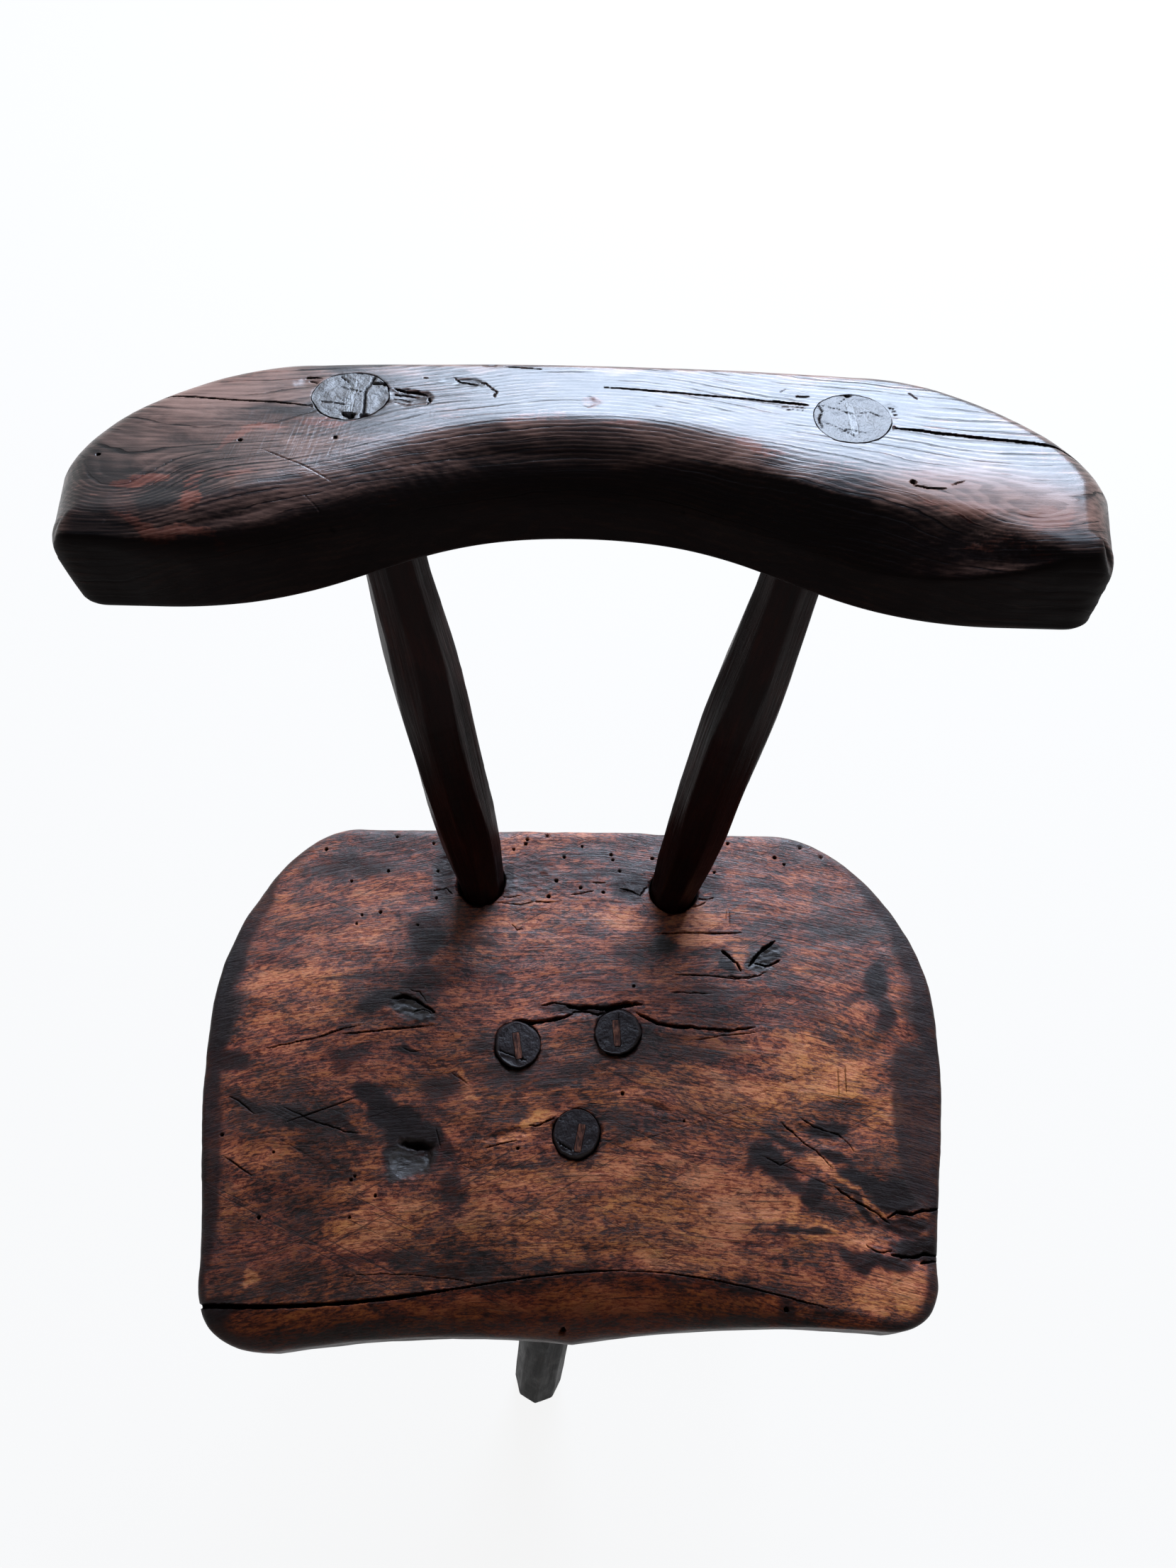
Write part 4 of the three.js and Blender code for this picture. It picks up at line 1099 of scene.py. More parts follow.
def seat_rim(loop, normal):
    local = loop - SEAT_MIDDLE
    ahead = front_line(local[:, 0]) + lip_width(local[:, 0]) - local[:, 1]
    rub = 1 + 0.25 * rough_noise(loop, 30, 5, 3)
    run = np.maximum(SEAT_EDGE * rub, ahead)
    none = np.zeros(len(loop))
    return run, np.maximum(SEAT_EDGE * 0.9 * rub, ahead * LIP_FALL), none, run + 1, none


def seat_relief(points):
    broad = rough_noise(points, (90, 60), 11, 3) * 0.55
    ripple = rough_noise(points, (26, 7), 21, 4) * 0.16
    right = smooth(points[:, 0], 196, 216) * smooth(points[:, 1], -120, -60)
    left = smooth(-points[:, 0], 212, 228)
    rough = spots(points, SEAT_ROUGH)
    torn = rough_noise(points, (6, 2.2), 31, 3) * 0.24
    return broad + ripple + rough * torn - 1.3 * right - 0.8 * left - 0.4


def make_seat():
    outline = seat_outline()
    crowded = [(np.array([-216.0, shake_line(-213)]), 7), (np.array([210.0, -113]), 6), (np.array([209.0, -139]), 7)]
    body, points, groups, dark = plank(
        outline, crowded, seat_rim, SEAT_THICKNESS, SEAT_EDGE, seat_holes(), SEAT_MARKS, seat_relief, 1.75, 7, 1.2
    )
    points[:, 2] += SEAT_HEIGHT - SEAT_THICKNESS
    points, normals = weathered(body, points, 0.22, (40, 14, 14), 51, groups["bore"])
    under = groups["under"]
    points[under, 2] += rough_noise(points[under, :2], (60, 22), 61, 4) * 0.6
    sides = groups["wall"]
    points[sides] += normals[sides] * (rough_noise(points[sides], (30, 30, 5), 71, 3) * 0.28)[:, None]
    flat = points[:, :2]
    inset = gaps(tree_of(resampled(outline, 4)), flat)
    side = smooth(np.abs(flat[:, 0] + 3), 150, 212)
    ahead = 1 - smooth(flat[:, 1], 60, 100)
    left = 0.9 * smooth(-flat[:, 0], 150, 200) * smooth(flat[:, 1], -160, -110)
    middle = np.maximum(smooth(flat[:, 1], -60, -20), left) * ahead
    band = (1 - smooth(inset + rough_noise(flat, 20, 81, 3) * 2.5, 3 + 4 * middle, 9 + 8 * middle)) * side
    band = np.maximum(band, spots(flat, [(207, -64, 17, 42, 1, 2)], soft=0.9))
    # edge darkens the worn side bands, every face more than 14 mm below the top, and (front) the front rim.
    edge = np.maximum(band, 0.75 * (points[:, 2] < SEAT_HEIGHT - 14))
    front = smooth(-flat[:, 1], 165, 185) * (1 - smooth(inset, 1, 5)) * 0.3
    local = flat - SEAT_MIDDLE
    lip = smooth(front_line(local[:, 0]) + lip_width(local[:, 0]) - local[:, 1], -1.5, 1.5)
    paint = {
        "soot_and_shade": spots(flat, SEAT_SOOT),
        "amber": spots(flat, SEAT_AMBER, seed=47),
        "pit": dark,
        "edge": np.maximum(edge, front),
        "red": np.maximum(smooth(flat[:, 1], -60, 105), spots(flat, SEAT_WET)),
        "lip": lip,
    }
    return body.make("seat_plank", points, paint, SEAT_WOOD)


# The backrest

REST_MARKS = Marks(
    splits=[
        (0.8, 2, 0.3, 5, 54, 30, 51.6, 60, 48.4, 80, 46, 97, 44), (1.2, 4, 0.3, 84, 46, 92, 45, 100, 43),
        (1.5, 6, 0.35, 134, 28, 150, 26.6, 165, 25, 180, 23, 196, 21.4, 207, 19, 216, 12, 224, 4),
        (0.8, 1.6, 0.3, -197, 41, -180, 39.6, -160, 38, -138, 36.6, -118, 33),
        (0.7, 1.2, 0.3, -60, 69.5, -40, 68, -20, 66.4), (0.8, 1.4, 1, -61, 58, -58, 55, -54, 54.4, -49, 53),
        (0.7, 1.2, 1, -49, 55, -46, 54, -43, 50, -40.6, 48, -41, 43),
        (0.9, 1.6, 0.9, -88, 48.6, -82, 47, -76, 46, -71, 44), (0.9, 1.6, 0.8, -70.5, 43, -69.4, 40, -71, 37.4),
        (0.6, 1, 0.9, -88, 45, -81, 44.4, -75, 43), (0.5, 0.8, 0.9, -88, 41, -82, 41.4, -77, 40.6),
        (0.5, 0.8, 0.9, -87, 38.4, -80, 38, -74, 36.8), (0.6, 1, 0.9, -76, 57.6, -72, 57),
        (0.8, 1.4, 0.9, -128, 54.6, -121, 55), (0.6, 1, 0.9, -126, 52.6, -121, 51.4),
        (0.8, 1.6, 0.7, 95, 49.4, 101, 49.8), (0.5, 0.8, 0.9, 86, 42.6, 99, 41), (0.5, 0.8, 0.9, 89, 39.6, 98, 39),
        (0.45, 0.7, 0.9, 88, 53, 91, 56), (0.5, 0.8, 0.9, 135, 43, 138, 42), (0.5, 0.8, 0.9, 135.6, 41, 138.6, 40),
        (0.5, 0.8, 0.9, 135.6, 38.6, 139, 37.6), (0.5, 0.8, 0.9, 135, 36, 138, 35.6),
        (0.9, 1.5, 0.7, 140, -9.5, 146, -12, 154, -11.6), (0.7, 1, 0.7, 156, -9, 162, -6),
        (0.8, 0.6, 0.1, 146, 55, 150, 50), (0.6, 0.5, 0.1, -140, 4, -105, -14), (0.5, 0.4, 0.1, -118, -20, -100, -34),
        (0.6, 0.5, 0.1, 40, 2, 46, -6),
    ],
    bowls=[
        (-80, 42.5, 12, 6.5, -8, 1), (-56, 55, 10, 3.4, -10, 0.6), (-127, 51, 7, 3.5, 0, 0.5),
        (92, 45, 8, 6, 0, 0.35), (136, 39, 4, 6, 0, 0.5), (180, -38, 30, 14, -12, 0.8), (-170, -25, 26, 16, 10, 0.6),
        (2, 42, 5, 4, 0, 0.5),
    ],
    holes=[(140, -8, 1.3), (-149, 9, 0.8), (-108, 12, 0.8), (-208, -2, 0.7)],
)
REST_EMBER = [
    (-152, 10, 12, 3, 0.95, 35), (-140, 18, 12, 3, 0.8, 10), (-112, 22, 16, 2.2, 0.6), (-186, -18, 12, 4.4, 0.85, 5),
    (-164, -24, 5, 12, 0.9, -20), (-172, -42, 26, 3.6, 0.85, -4), (-148, -14, 10, 3, 0.7, 15),
    (-20, 32, 16, 2.6, 0.6), (16, 31, 12, 2.6, 0.55), (3, 41, 4, 3, 0.7), (76, 13, 14, 3.4, 0.8, -15),
    (152, -5, 20, 4, 0.7, -5), (190, -28, 13, 6.5, 0.95), (162, -22, 20, 4, 0.75, -12), (178, -40, 24, 3, 0.6, -12),
    (-150, 54, 34, 6, 0.55, 8), (120, 62, 60, 3, 0.5, -3), (-40, -10, 60, 4, 0.3, 8), (60, -8, 50, 4, 0.35, -10),
    (205, 10, 12, 8, 0.4), (110, 0, 12, 4, 0.5, -20), (-60, 30, 20, 3, 0.4, 20), (150, 30, 20, 4, 0.35),
]
REST_TAN = [
    (-165, 40, 34, 15, 0.9, 14), (-132, 50, 30, 14, 0.8, 8), (-180, 14, 40, 26, 0.5), (-90, 64, 16, 6, 0.5),
    (60, 68, 120, 3, 0.8, -2), (190, 36, 20, 5, 0.4, -30), (-130, 0, 40, 24, 0.4), (170, -14, 46, 22, 0.7, -8),
    (-30, 67, 60, 3, 0.7), (212, -10, 8, 40, 0.5),
]
REST_HATCH = [
    (-135, 10, 40, 20, 1), (-185, 20, 24, 24, 0.5), (-60, 34, 26, 9, 0.35, 10), (150, 10, 60, 16, 0.2, -10),
]
REST_SOOT = [
    (-176, -30, 10, 8, 0.8), (-150, 4, 22, 8, 0.5, 20), (-205, 0, 16, 30, 0.6), (-104, 44, 24, 20, 0.35),
    (116, 35, 22, 22, 0.3), (-196, -44, 16, 9, 0.8), (170, -12, 18, 4, 0.45), (205, -44, 20, 8, 0.7),
    (-60, 54, 14, 5, 0.4),
]


def rest_rim(loop, normal):
    facing = smooth(-normal[:, 1], 0, 1)
    at_end = smooth(np.abs(normal[:, 0]), 0, 1)
    x, *profile = zip(*REST_FRONT_EDGE)
    start, roll, run, drop, slope = (np.interp(loop[:, 0], x, values) for values in profile)
    rub = 1 + 0.05 * rough_noise(loop, 60, 6, 2)
    run, drop = mixed(REST_EDGE, run, facing), mixed(REST_EDGE, drop, facing)
    run, drop = mixed(run, REST_END_ROUND, at_end) * rub, mixed(drop, REST_END_DROP, at_end) * rub
    return run, drop, mixed(0.06, slope, facing), np.maximum(start, run + 4), roll * facing * (1 - at_end)


def rest_relief(points):
    broad = rough_noise(points, (90, 40), 13, 2) * 0.30
    ripple = rough_noise(points, (30, 5), 23, 3) * 0.03
    crown = -1.2 * smooth(points[:, 0], 110, 225) - 0.9 * smooth(-points[:, 0], 120, 220)
    calm = 1.0
    for _, rest in POSTS.values():
        calm = calm * smooth(np.linalg.norm(points - rest, axis=1), 19, 40)
    return (broad + ripple + crown - 0.25) * calm


def rest_rings(points):
    """How many growth rings out from the middle of the branch each point lies. The branch bends
    with the front edge, and two knots push the rings up near the ends."""
    x, y, z = points.T
    sweep = -REST_SWEEP * smooth(np.abs(x), 0, 195)
    v = y - sweep * (1 - 0.6 * np.clip((y - sweep) / 120, 0, 1))
    away = np.hypot(z + 48, v + 90)
    away += 11.0 * np.exp(-(((x - 188) / 36) ** 2) - ((y + 27) / 14) ** 2)
    away += 9.0 * np.exp(-(((x + 140) / 44) ** 2) - ((y - 16) / 20) ** 2)
    away += 17.0 * np.exp(-(((x + 196) / 30) ** 2) - ((y + 22) / 24) ** 2)
    away -= 3.0 * np.exp(-(((x - 120) / 30) ** 2) - ((y - 34) / 24) ** 2)
    away += 2.4 * rough_noise(points, (110, 40, 40), 91, 3)
    return away / 2.1


REST_MORTISE_TOP = (17.45, 17.55)
REST_MORTISE_FOOT = (16.7, 17.2)


def rest_holes():
    """Each mortise in the backrest's own frame, at its top face and underside, and its seed."""
    holes = []
    turn = np.array(REST_PLACE.to_3x3())
    for name, (base, rest) in POSTS.items():
        slant = np.array([*post_slant(base, rest), 1.0]) @ turn
        under = np.array(rest) - slant[:2] / slant[2] * REST_THICKNESS
        holes.append((*rest, *REST_MORTISE_TOP, *under, *REST_MORTISE_FOOT, SEEDS[name]))
    return holes


def make_backrest():
    body, points, groups, dark = plank(
        rest_outline(), [(np.array([222.0, 6]), 7)], rest_rim, REST_THICKNESS, REST_EDGE_BELOW, rest_holes(),
        REST_MARKS, rest_relief, 1.5, 9, 0.22,
    )
    points[:, 2] -= REST_THICKNESS / 2
    points, normals = weathered(body, points, 0.08, (60, 22, 22), 53, groups["bore"])
    low_end = smooth(np.abs(points[:, 0]), 150, 222) * smooth(-points[:, 1], -20, 40)
    low_end *= (0.5 - points[:, 2] / REST_THICKNESS) ** 2
    points[:, 0] += np.where(points[:, 0] < 0, 5.5, -2.0) * low_end
    sides = groups["wall"]
    scrape = rough_noise(points[sides], (16, 16, 60), 73, 3) * 0.3
    ends = smooth(np.abs(points[sides, 0]), 150, 200) * smooth(-points[sides, 1], 30, 45)
    ends *= points[sides, 0] > 0
    kerfs = rough_noise(points[sides], (30, 60, 2.4), 83, 2) * 0.3 * ends
    points[sides] += normals[sides] * (scrape + kerfs)[:, None]
    flat = points[:, :2]
    # Painted shade: the lower half and underside (low) and the forward-facing front face (front) are painted near-black
    # through "edge", over the wood's own dark colour.
    low = smooth(-points[:, 2], -12, 2)
    front = smooth(-normals[:, 1], 0.36, 0.58) * smooth(-normals[:, 2], -0.92, -0.72)
    dull = smooth(np.interp(flat[:, 0], (60, 100, 140, 180, 215), (-10, 12, 12, 8, -4)) - flat[:, 1], -8, 30)
    dull = 0.9 * dull * smooth(flat[:, 0], 50, 110)
    dull = np.maximum(dull, 0.4 * smooth(-flat[:, 0], 105, 190))
    rolled = smooth(-normals[:, 1], 0.10, 0.30) * (1 - front) * (1 - low)
    dull = np.maximum(dull, 0.7 * rolled)
    paint = {
        "soot_and_shade": spots(flat, REST_SOOT),
        "amber": spots(flat, REST_EMBER, seed=49) * (1 - low),
        "pit": dark,
        "edge": np.maximum(front, low * 0.8),
        "red": spots(flat, REST_HATCH, seed=59),
        # The rolled share is a lighter tone painted on the rolled bevel by its slope alone: painted light where the
        # bevel catches it. The listed tan spots are the wood's own colour.
        "tan": np.maximum(spots(flat, REST_TAN, seed=63), 0.32 * rolled) * (1 - low),
        "ring": rest_rings(points),
        "dull": dull,
    }
    return body.make("backrest_plank", points, paint, REST_WOOD, REST_PLACE)


# Sticks

TENON_MARKS = Marks(
    splits=[
        (0.9, 1.8, 0.4, -50, -19, -41, -23, -31, -26.4), (0.9, 1.6, 0.4, -13.6, -73, -8, -77, -2, -80.5),
        (0.5, 0.5, 0.2, 31, -5.4, 38, -7.2), (0.6, 0.9, 0.6, -36.4, -6, -36, -2), (0.6, 0.9, 0.6, 25.4, 1, 25.8, 6),
        (0.6, 0.9, 0.6, 24, -15, 23.6, -21), (0.5, 0.5, 0.5, -12, -62, -6, -59), (0.5, 0.5, 0.5, -48, -12, -43, -6),
        (0.5, 0.5, 0.5, 12, -12, 17, -17), (0.6, 0.8, 0.6, 3.6, -79, 4.4, -82),
    ],
    bowls=[(-42, -26, 8, 2.4, -24, 0.8), (-9, -79, 6, 2, -30, 0.7), (16, -14, 5, 3, 40, 0.4)],
)
REST_TENON_MARKS = Marks(
    splits=[
        (0.9, 2.2, 0.7, -96.5, 60, -97.5, 52, -99.5, 46, -99, 38, -98, 31, -97.5, 26),
        (2.2, 3, 0.8, -108, 29, -104, 27.6, -101, 28.4), (2.4, 3, 0.8, -99, 28, -96, 27),
        (1.5, 2.6, 0.8, -98, 52, -92, 51.6, -88, 50), (0.6, 1, 0.8, -113, 50, -107, 47.6, -100, 44.6),
        (0.6, 0.9, 0.8, -120, 38, -110, 36, -102, 34), (0.6, 0.8, 0.7, -113, 57, -108, 52),
        (0.7, 1, 0.7, -94, 58, -90, 54), (1, 1.8, 0.8, 110, 50.4, 116, 51.2, 122, 49.8),
        (0.7, 1.4, 0.6, 104, 44, 105.6, 39, 103.6, 33, 105, 27), (0.5, 0.8, 0.8, 105, 43, 112, 41, 118, 37, 120, 29),
        (0.5, 0.7, 0.8, 112, 41, 114, 46, 118, 49), (0.5, 0.7, 0.8, 104, 32, 112, 27, 121, 20),
        (0.5, 0.7, 0.8, 118, 37, 126, 39, 133, 36), (0.5, 0.6, 0.8, 110, 23, 116, 26, 125, 24),
    ],
    bowls=[(-110, 50, 6, 4, 20, 0.5), (-92, 40, 4, 6, 0, 0.4), (124, 44, 6, 4, 0, 0.4)],
)


STICK_SIDES = 96
STICK_ROW = 1.9
# The rows nearest to a stick's ends, as shares of its length
STICK_START = (0, 0.0012, 0.0035, 0.007)
STICK_END = (0.993, 0.9965, 0.9988, 1)
FACETS = 8
CAP_SPACING, FOOT_SPACING, WEDGE_SPACING = 0.62, 2.2, 0.7
SLOT_DEPTHS = (0.6, 3.0, 8.0, 14.0, 22.0)
SLOT_TAPER = 0.006
# How thick the wedges are, and how wide the posts' ones
LEG_WEDGE = 4.4
POST_WEDGE = (3.4, 22.6)
WEDGE_PROUD = 0.35
# Heights over the seat's top and the posts' widths there
POST_WIDTHS = (
    (-45, 27.6), (-42, 28.4), (-12, 28.5), (0, 28.6), (14, 31.2), (36, 35.2), (69, 37.9), (120, 38.8), (155, 39.8),
    (172, 39.2), (189, 37.8), (206, 35.6), (224, 33.9), (241, 31.9), (262, 31.4), (300, 32.2), (330, 33.6), (345, 34.4),
)


def frame_along(start, way):
    """Matrix, in metres, of a frame at start whose Z lies along the way."""
    z = Vector(way).normalized()
    x = Vector((1, 0, 0))
    x = (x - z * x.dot(z)).normalized()
    turn = Matrix((x, z.cross(x), z)).transposed().to_4x4()
    return Matrix.Translation(Vector(start) * MM) @ turn


def end_relief(world, start, way, marked, seed):
    """How far a stick's end rises along its own Z at places of the chair's frame, and how dark it is."""
    lay_flat, marks = marked
    deep, dark = marks.cut(lay_flat(world))
    local = (world - start) @ np.array(frame_along(start, way).to_3x3())
    return rough_noise(local[:, :2], 6, seed + 9, 4) * 0.22 - deep, dark


def facets(turn, along, seed):
    """How a hewn stick's radius changes round it: flat faces with uneven strokes."""
    phase = 0.035 * rough_noise(np.stack([along / 90, np.full_like(along, seed)], axis=1), 1.0, seed, 2)
    turned = turn / (2 * np.pi) * FACETS + phase * FACETS / 2
    part, face = turned % 1.0, np.floor(turned) % FACETS
    flat = math.cos(math.pi / FACETS) / np.cos((part - 0.5) * 2 * np.pi / FACETS)
    middle = (1 + math.cos(math.pi / FACETS)) / 2
    stroke = value_noise(np.stack([face * 3.7 + 0.31, along / 38], axis=1), seed + 5) * 0.012
    return 1 + (flat - middle) + stroke * (1 - np.abs(part - 0.5) * 1.2)


def rounded_slot(middle, turn, thick, wide, grow=0.0):
    """A long rectangle with slightly eased corners, anticlockwise."""
    half = np.array([thick / 2 + grow, wide / 2 + grow])
    corners = [(-1, -1), (1, -1), (1, 1), (-1, 1)]
    points = []
    for k, (x, y) in enumerate(corners):
        nx, ny = corners[(k + 1) % 4]
        for share in np.linspace(0.08, 0.92, 7 if k % 2 == 0 else 22):
            points.append(((x + (nx - x) * share) * half[0], (y + (ny - y) * share) * half[1]))
    c, s = math.cos(turn), math.sin(turn)
    return np.array(points) @ np.array([[c, s], [-s, c]]) + middle


def stick(name, start, way, length, planes, profile, slot, paint_at, marked, wood):
    """A hewn stick as an object whose Z is its axis, for the node of that name.

    planes are a point and a normal for each end, which they cut. profile(along) gives the radius
    before hewing, how much the facets are hidden, and what is left of them there. slot is a closed
    loop on the upper end for a wedge. paint_at(points, places in the chair's frame) gives the dark
    value (soot, and painted shade under the seat and the backrest), bare wood and end grain. marked
    is a function that lays such places flat, and the marks there.
    """
    matrix, seed = frame_along(start, way), SEEDS[name]
    turn_matrix = np.array(matrix.to_3x3())
    turns = np.linspace(0, 2 * np.pi, STICK_SIDES, endpoint=False)

    def on_plane(x, y, plane):
        at, normal = (np.array(plane[0]) - start) @ turn_matrix, np.array(plane[1]) @ turn_matrix
        return at[2] - (normal[0] * (x - at[0]) + normal[1] * (y - at[1])) / normal[2]

    share = np.linspace(0, 1, int(length / STICK_ROW) + 1)
    body, rings = Builder(), []
    for s in (*STICK_START, *share[2:-2], *STICK_END):
        along = np.full(STICK_SIDES, s * length)
        base, hidden, left = profile(along)
        hewn = facets(turns, along, seed)
        hewn = mixed(hewn, 1 + (hewn - 1) * left, hidden)
        r = base * hewn * mixed(1, lobes(turns, seed), smooth(along, length - 14, length - 5))
        x, y = r * np.cos(turns), r * np.sin(turns)
        z = mixed(on_plane(x, y, planes[0]), on_plane(x, y, planes[1]), s)
        rings.append(body.add(np.column_stack([x, y, z])))
    for a, b in itertools.pairwise(rings):
        body.join(a, b)

    rng = np.random.default_rng(seed)
    hole = ((slot - start) @ turn_matrix)[:, :2]
    caps = []
    for ring, plane, top in ((rings[0], planes[0], False), (rings[-1], planes[1], True)):
        loop = body.vertices()[ring][:, :2]
        radius = np.linalg.norm(loop, axis=1).min()
        grid = hexagons((-radius, -radius), (radius, radius), CAP_SPACING if top else FOOT_SPACING, rng)
        grid = grid[np.linalg.norm(grid, axis=1) < radius - 1.0]
        loops, collars = [loop], [shifted(loop, -0.12), shifted(loop, -0.5)]
        if top:
            grid = grid[~in_loop(grid, shifted(hole, 1.6))]
            loops.append(hole)
            collars.append(shifted(hole, 0.12))
        extra = np.vstack([*loops[1:], *collars, grid])
        height = on_plane(extra[:, 0], extra[:, 1], plane)
        if top:
            world = np.column_stack([extra, height]) @ turn_matrix.T + start
            rise, dark = end_relief(world, start, way, marked, seed)
            height = height + rise
        caps.append(body.add(np.column_stack([extra, height])))
        triangles = sheet(loops, np.vstack([*collars, grid]))
        body.fill(np.concatenate([ring, caps[-1]])[triangles], flip=not top)

    ring, centre = caps[1][: len(hole)], hole.mean(axis=0)
    mouth = body.vertices()[ring]
    for drop in SLOT_DEPTHS:
        shrunk = centre + (mouth[:, :2] - centre) * (1 - drop * SLOT_TAPER)
        lower = body.add(np.column_stack([shrunk, mouth[:, 2] - drop]))
        body.join(ring, lower)
        ring = lower
    floor = body.add([[*centre, mouth[:, 2].mean() - SLOT_DEPTHS[-1]]])
    body.fill(np.column_stack([ring, np.roll(ring, -1), np.repeat(floor, len(ring))]))

    still = np.concatenate([*caps, rings[0]])
    points, _ = weathered(body, body.vertices(), 0.09, (9, 9, 90), seed + 20, still)
    pit, cap = np.zeros(len(points)), np.zeros(len(points))
    pit[caps[1]] = dark
    cap[caps[0]], cap[caps[1]] = 0.8, 1
    soot_and_shade, bare, end = paint_at(points, points @ turn_matrix.T + start)
    paint = {"soot_and_shade": np.clip(soot_and_shade, 0, 1), "amber": np.clip(bare, 0, 1), "edge": np.maximum(cap, end), "pit": pit}
    return body.make(name + "_stick", points, paint, wood, matrix)


def make_wedge(name, middle, turn, thick, wide, way, aged, normal=None, relief=None):
    """A worn wedge that stands a little proud of its tenon's end, or follows the end's relief."""
    body, seed = Builder(), SEEDS[name]
    outer = rounded_slot(np.zeros(2), turn, thick, wide, -0.12 + 0.16 * aged)
    across = np.array([[math.cos(turn), math.sin(turn)], [-math.sin(turn), math.cos(turn)]])
    proud = WEDGE_PROUD * (1 - aged)
    rings = []
    for height, share in ((-20.0, 0.35), (-8.0, 0.75), (-1.0, 1.0), (proud - 0.2, 1.0), (proud, 0.94 + 0.06 * aged)):
        local = outer @ across.T * (share, 1.0 if height > -5 else 0.98)
        ring = local @ across + middle[:2] + np.array(way[:2]) / way[2] * height
        rings.append(body.add(np.column_stack([ring, np.full(len(ring), middle[2] + height)])))
    for a, b in itertools.pairwise(rings):
        body.join(a, b)
    rng = np.random.default_rng(seed)
    for ring, flip in ((rings[0], True), (rings[-1], False)):
        loop = body.vertices()[ring][:, :2]
        grid = hexagons(loop.min(axis=0), loop.max(axis=0), WEDGE_SPACING, rng)
        grid = np.vstack([shifted(loop, -0.15), grid[in_loop(grid, shifted(loop, -0.75))]])
        index = body.add(np.column_stack([grid, np.full(len(grid), body.vertices()[ring][:, 2].mean())]))
        body.fill(np.concatenate([ring, index])[sheet([loop], grid)], flip=flip)
    points = body.vertices()
    above = points[:, 2] > middle[2] + proud - 0.05
    if relief is None:
        pit = np.zeros(len(points))
        points[:, 2] += above * rough_noise(points[:, :2], (1.6, 7), seed + 2, 3) * 0.22
    else:
        points[:, 2] -= ((points[:, :2] - middle[:2]) @ normal[:2]) / normal[2]
        rise, pit = relief(points)
        points += way * (rise * above)[:, None]
        pit = pit * above
    return body.make(name + "_wedge_chip", points, {"soot_and_shade": np.full(len(points), aged), "pit": pit}, WEDGE_WOOD)


def make_leg(name, head, foot, shift, turn):
    foot = np.array([*foot, 0.0])
    way = np.array([*head, SEAT_HEIGHT]) - foot
    way /= np.linalg.norm(way)
    length = (SEAT_HEIGHT + LEG_PROUD) / way[2]
    seat_low = (SEAT_HEIGHT - SEAT_THICKNESS) / way[2]
    places = (0, 1.2, 4.5, seat_low - LEG_SHOULDER, seat_low - 2, length - 1.2, length)
    radii = (LEG_RADIUS - 3.4, LEG_RADIUS - 1.6, LEG_RADIUS, LEG_RADIUS, LEG_TENON_FOOT, LEG_TENON_TOP,
             LEG_TENON_TOP - 0.9)

    def profile(along):
        in_seat = smooth(along, seat_low - 8, seat_low - 1)
        return np.interp(along, places, radii) * (1 - 0.012 * (1 - in_seat)), in_seat, 0.25

    def paint_at(points, world):
        z = world[:, 2]
        # Painted shade: darker for the 60 mm under the seat. Darker again towards the floor.
        soot_and_shade = 0.75 * smooth(z, SEAT_HEIGHT - SEAT_THICKNESS - 60, SEAT_HEIGHT - SEAT_THICKNESS)
        soot_and_shade = np.maximum(soot_and_shade, 0.55 * (1 - smooth(z, 2, 30)))
        bare = 0.35 * rough_noise(points, (20, 20, 90), SEEDS[name] + 3, 3) + 0.15
        return soot_and_shade, bare, smooth(z, SEAT_HEIGHT, SEAT_HEIGHT + 1.0)

    middle = np.array([*(np.array(shift) + (foot + way * length)[:2]), SEAT_HEIGHT + LEG_PROUD])
    turn, wide = math.radians(turn), 2 * (LEG_TENON_TOP - WEDGE_SIDE_WOOD)
    flat = rounded_slot(middle[:2], turn, LEG_WEDGE, wide, 0.12)
    slot = np.column_stack([flat, np.full(len(flat), middle[2])])
    planes = (foot, (0, 0, 1)), ((0, 0, middle[2]), (0, 0, 1))
    marked = (lambda points: points[:, :2]), TENON_MARKS
    leg = stick(name, foot, way, length, planes, profile, slot, paint_at, marked, LEG_WOOD)
    return leg, make_wedge(name, middle, turn, LEG_WEDGE, wide, way, 0.0)


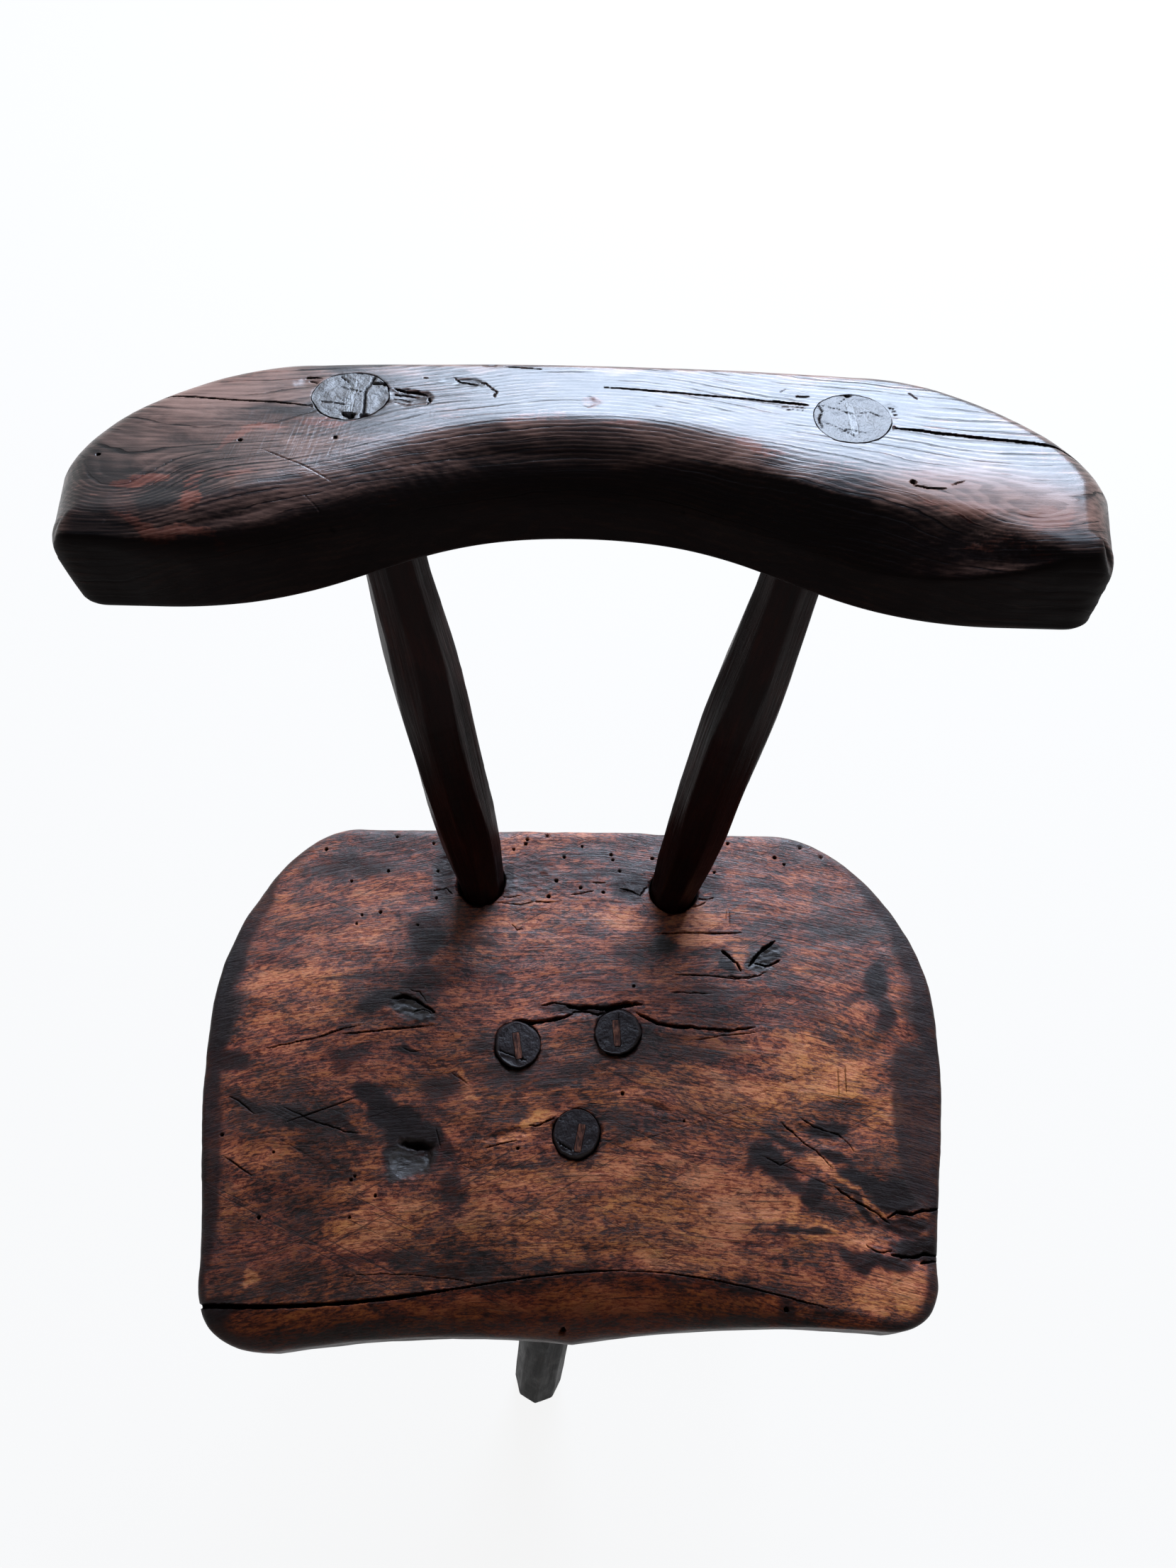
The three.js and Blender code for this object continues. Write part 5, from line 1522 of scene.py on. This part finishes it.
def make_post(name, base, rest):
    way = np.array([*post_slant(base, rest), 1.0])
    tall = np.linalg.norm(way)
    way /= tall
    low = SEAT_HEIGHT - SEAT_THICKNESS - POST_PROUD_BELOW
    start = np.array([*base, SEAT_HEIGHT]) + way * (low - SEAT_HEIGHT) * tall
    top = rest_to_world(np.array([[*rest, REST_THICKNESS / 2 + 0.05]]))[0]
    normal = np.array(REST_PLACE.to_3x3())[:, 2]
    length = (top - start) @ way
    seat_at = (SEAT_HEIGHT - low) * tall
    seed = SEEDS[name]

    def profile(along):
        above = (along - seat_at) / tall
        hidden = smooth(above, 300, 325) + (1 - smooth(above, -6, 4))
        return np.interp(above, *zip(*POST_WIDTHS)) / 2 * 1.012, np.clip(hidden, 0, 1), 0.2

    def paint_at(points, world):
        above = world[:, 2] - SEAT_HEIGHT
        # Darker at the seat joint, and painted shade on the upper part, under the backrest.
        soot_and_shade = np.maximum(0.9 * (1 - smooth(above, 2, 26)), 0.5 * smooth(above, 190, 260))
        soot_and_shade = np.maximum(soot_and_shade, 0.45 + 0.5 * rough_noise(points, (16, 16, 80), seed + 4, 3) - 0.25)
        bare = 0.4 * rough_noise(points, (14, 14, 50), seed + 6, 3)
        if name == "back_post_left":
            bare = np.maximum(bare, spots(np.column_stack([world[:, 0], above]), [(-52, 8, 5, 9, 0.8)]))
        return soot_and_shade, bare, 0

    flat = rounded_slot(top[:2], 0.0, *POST_WEDGE)
    slot = np.column_stack([flat, top[2] - ((flat - top[:2]) @ normal[:2]) / normal[2]])
    planes = ((0, 0, low), (0, 0, 1)), (top, normal)
    marked = world_to_rest, REST_TENON_MARKS
    post = stick(name, start, way, length, planes, profile, slot, paint_at, marked, POST_WOOD)
    wedge = make_wedge(name, top, 0.0, *POST_WEDGE, way, 1.0, normal,
                       lambda points: end_relief(points, start, way, marked, seed))
    return post, wedge


# Assembly

seat = make_seat()
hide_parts("seat")
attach(seat, "root")

backrest = make_backrest()
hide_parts("backrest")
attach(backrest, "root")

for name, (head, foot, shift, turn) in LEGS.items():
    piece, wedge = make_leg(name, head, foot, shift, turn)
    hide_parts(name)
    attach(piece, "root")
    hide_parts(name + "_wedge")
    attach(wedge, "root")

for name, (base, rest) in POSTS.items():
    piece, wedge = make_post(name, np.array(base), np.array(rest))
    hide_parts(name)
    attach(piece, "root")
    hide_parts(name + "_top_wedge")
    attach(wedge, "root")
    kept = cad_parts[name + "_bottom_wedge"]
    kept.data.materials.clear()
    kept.data.materials.append(WEDGE_WOOD)


# Floor, light and camera

def seen(tree):
    """1 for rays that come from the camera, a mirror-like surface or a clear one."""
    path = new_node(tree, "ShaderNodeLightPath")
    both = new_node(tree, "ShaderNodeMath", {0: path.outputs["Is Camera Ray"], 1: path.outputs["Is Glossy Ray"]},
                    operation="ADD")
    return new_node(tree, "ShaderNodeMath", {0: both.outputs[0], 1: path.outputs["Is Transmission Ray"]},
                    operation="ADD", use_clamp=True).outputs[0]


FLOOR_HALF = 12
FLOOR_GLOW = 0.9
WHITE = (1, 1, 1, 1)

floor_mesh = bpy.data.meshes.new("floor")
corners = [(x * FLOOR_HALF, y * FLOOR_HALF, 0) for x, y in ((-1, -1), (1, -1), (1, 1), (-1, 1))]
floor_mesh.from_pydata(corners, [], [(0, 1, 2, 3)])
floor = bpy.data.objects.new("floor", floor_mesh)
bpy.context.scene.collection.objects.link(floor)
floor_paint = bpy.data.materials.new("floor")
floor_paint.use_nodes = True
tree = floor_paint.node_tree
tree.nodes.clear()
matt = new_node(tree, "ShaderNodeBsdfDiffuse", {"Color": (0.6, 0.6, 0.6, 1)})
glow = new_node(tree, "ShaderNodeEmission", {"Color": WHITE, "Strength": 1.0})
share = new_node(tree, "ShaderNodeMath", {0: seen(tree), 1: FLOOR_GLOW}, operation="MULTIPLY")
blend = new_node(tree, "ShaderNodeMixShader", {0: share.outputs[0], 1: matt.outputs[0], 2: glow.outputs[0]})
new_node(tree, "ShaderNodeOutputMaterial", {0: blend.outputs[0]})
floor.data.materials.append(floor_paint)

world = bpy.data.worlds.new("studio")
bpy.context.scene.world = world
world.use_nodes = True
tree = world.node_tree
tree.nodes.clear()
sky = new_node(tree, "ShaderNodeTexCoord")
height = new_node(tree, "ShaderNodeSeparateXYZ", {0: sky.outputs["Generated"]}).outputs[2]
band = {"Value": height, "From Min": 0.30, "From Max": 0.85, "To Min": 1.0, "To Max": 0.12}
fade = new_node(tree, "ShaderNodeMapRange", band, interpolation_type="SMOOTHSTEP").outputs[0]
dim = new_node(tree, "ShaderNodeBackground", {"Color": (0.80, 0.90, 1.0, 1), "Strength": 0.10})
white = new_node(tree, "ShaderNodeBackground", {"Color": WHITE, "Strength": fade})
blend = new_node(tree, "ShaderNodeMixShader", {0: seen(tree), 1: dim.outputs[0], 2: white.outputs[0]})
new_node(tree, "ShaderNodeOutputWorld", {0: blend.outputs[0]})

WINDOW_PLACE = Vector((0.52, 2.50, 2.05))
WINDOW_TARGET = Vector((0.03, 0.05, 0.55))
WINDOW_WATTS = 216

light = bpy.data.lights.new("window", "AREA")
light.shape = "RECTANGLE"
light.size, light.size_y = 1.9, 1.6
light.energy = WINDOW_WATTS
light.color = (0.665, 0.795, 1.0)
window = bpy.data.objects.new("window", light)
window.location = WINDOW_PLACE
window.rotation_mode = "QUATERNION"
window.rotation_quaternion = (WINDOW_TARGET - WINDOW_PLACE).to_track_quat("-Z", "Y")
bpy.context.scene.collection.objects.link(window)

FOCAL_PIXELS, PHOTO_HEIGHT = 1661, 2212
camera_data = bpy.data.cameras.new("camera")
camera_data.sensor_width = 36
camera_data.lens = FOCAL_PIXELS / PHOTO_HEIGHT * camera_data.sensor_width
camera = bpy.data.objects.new("camera", camera_data)
camera.location = (0.006, -0.2034, 1.1551)
camera.rotation_euler = (math.radians(27), 0, 0)
bpy.context.scene.collection.objects.link(camera)
bpy.context.scene.camera = camera
bpy.context.scene.view_settings.view_transform = "Standard"
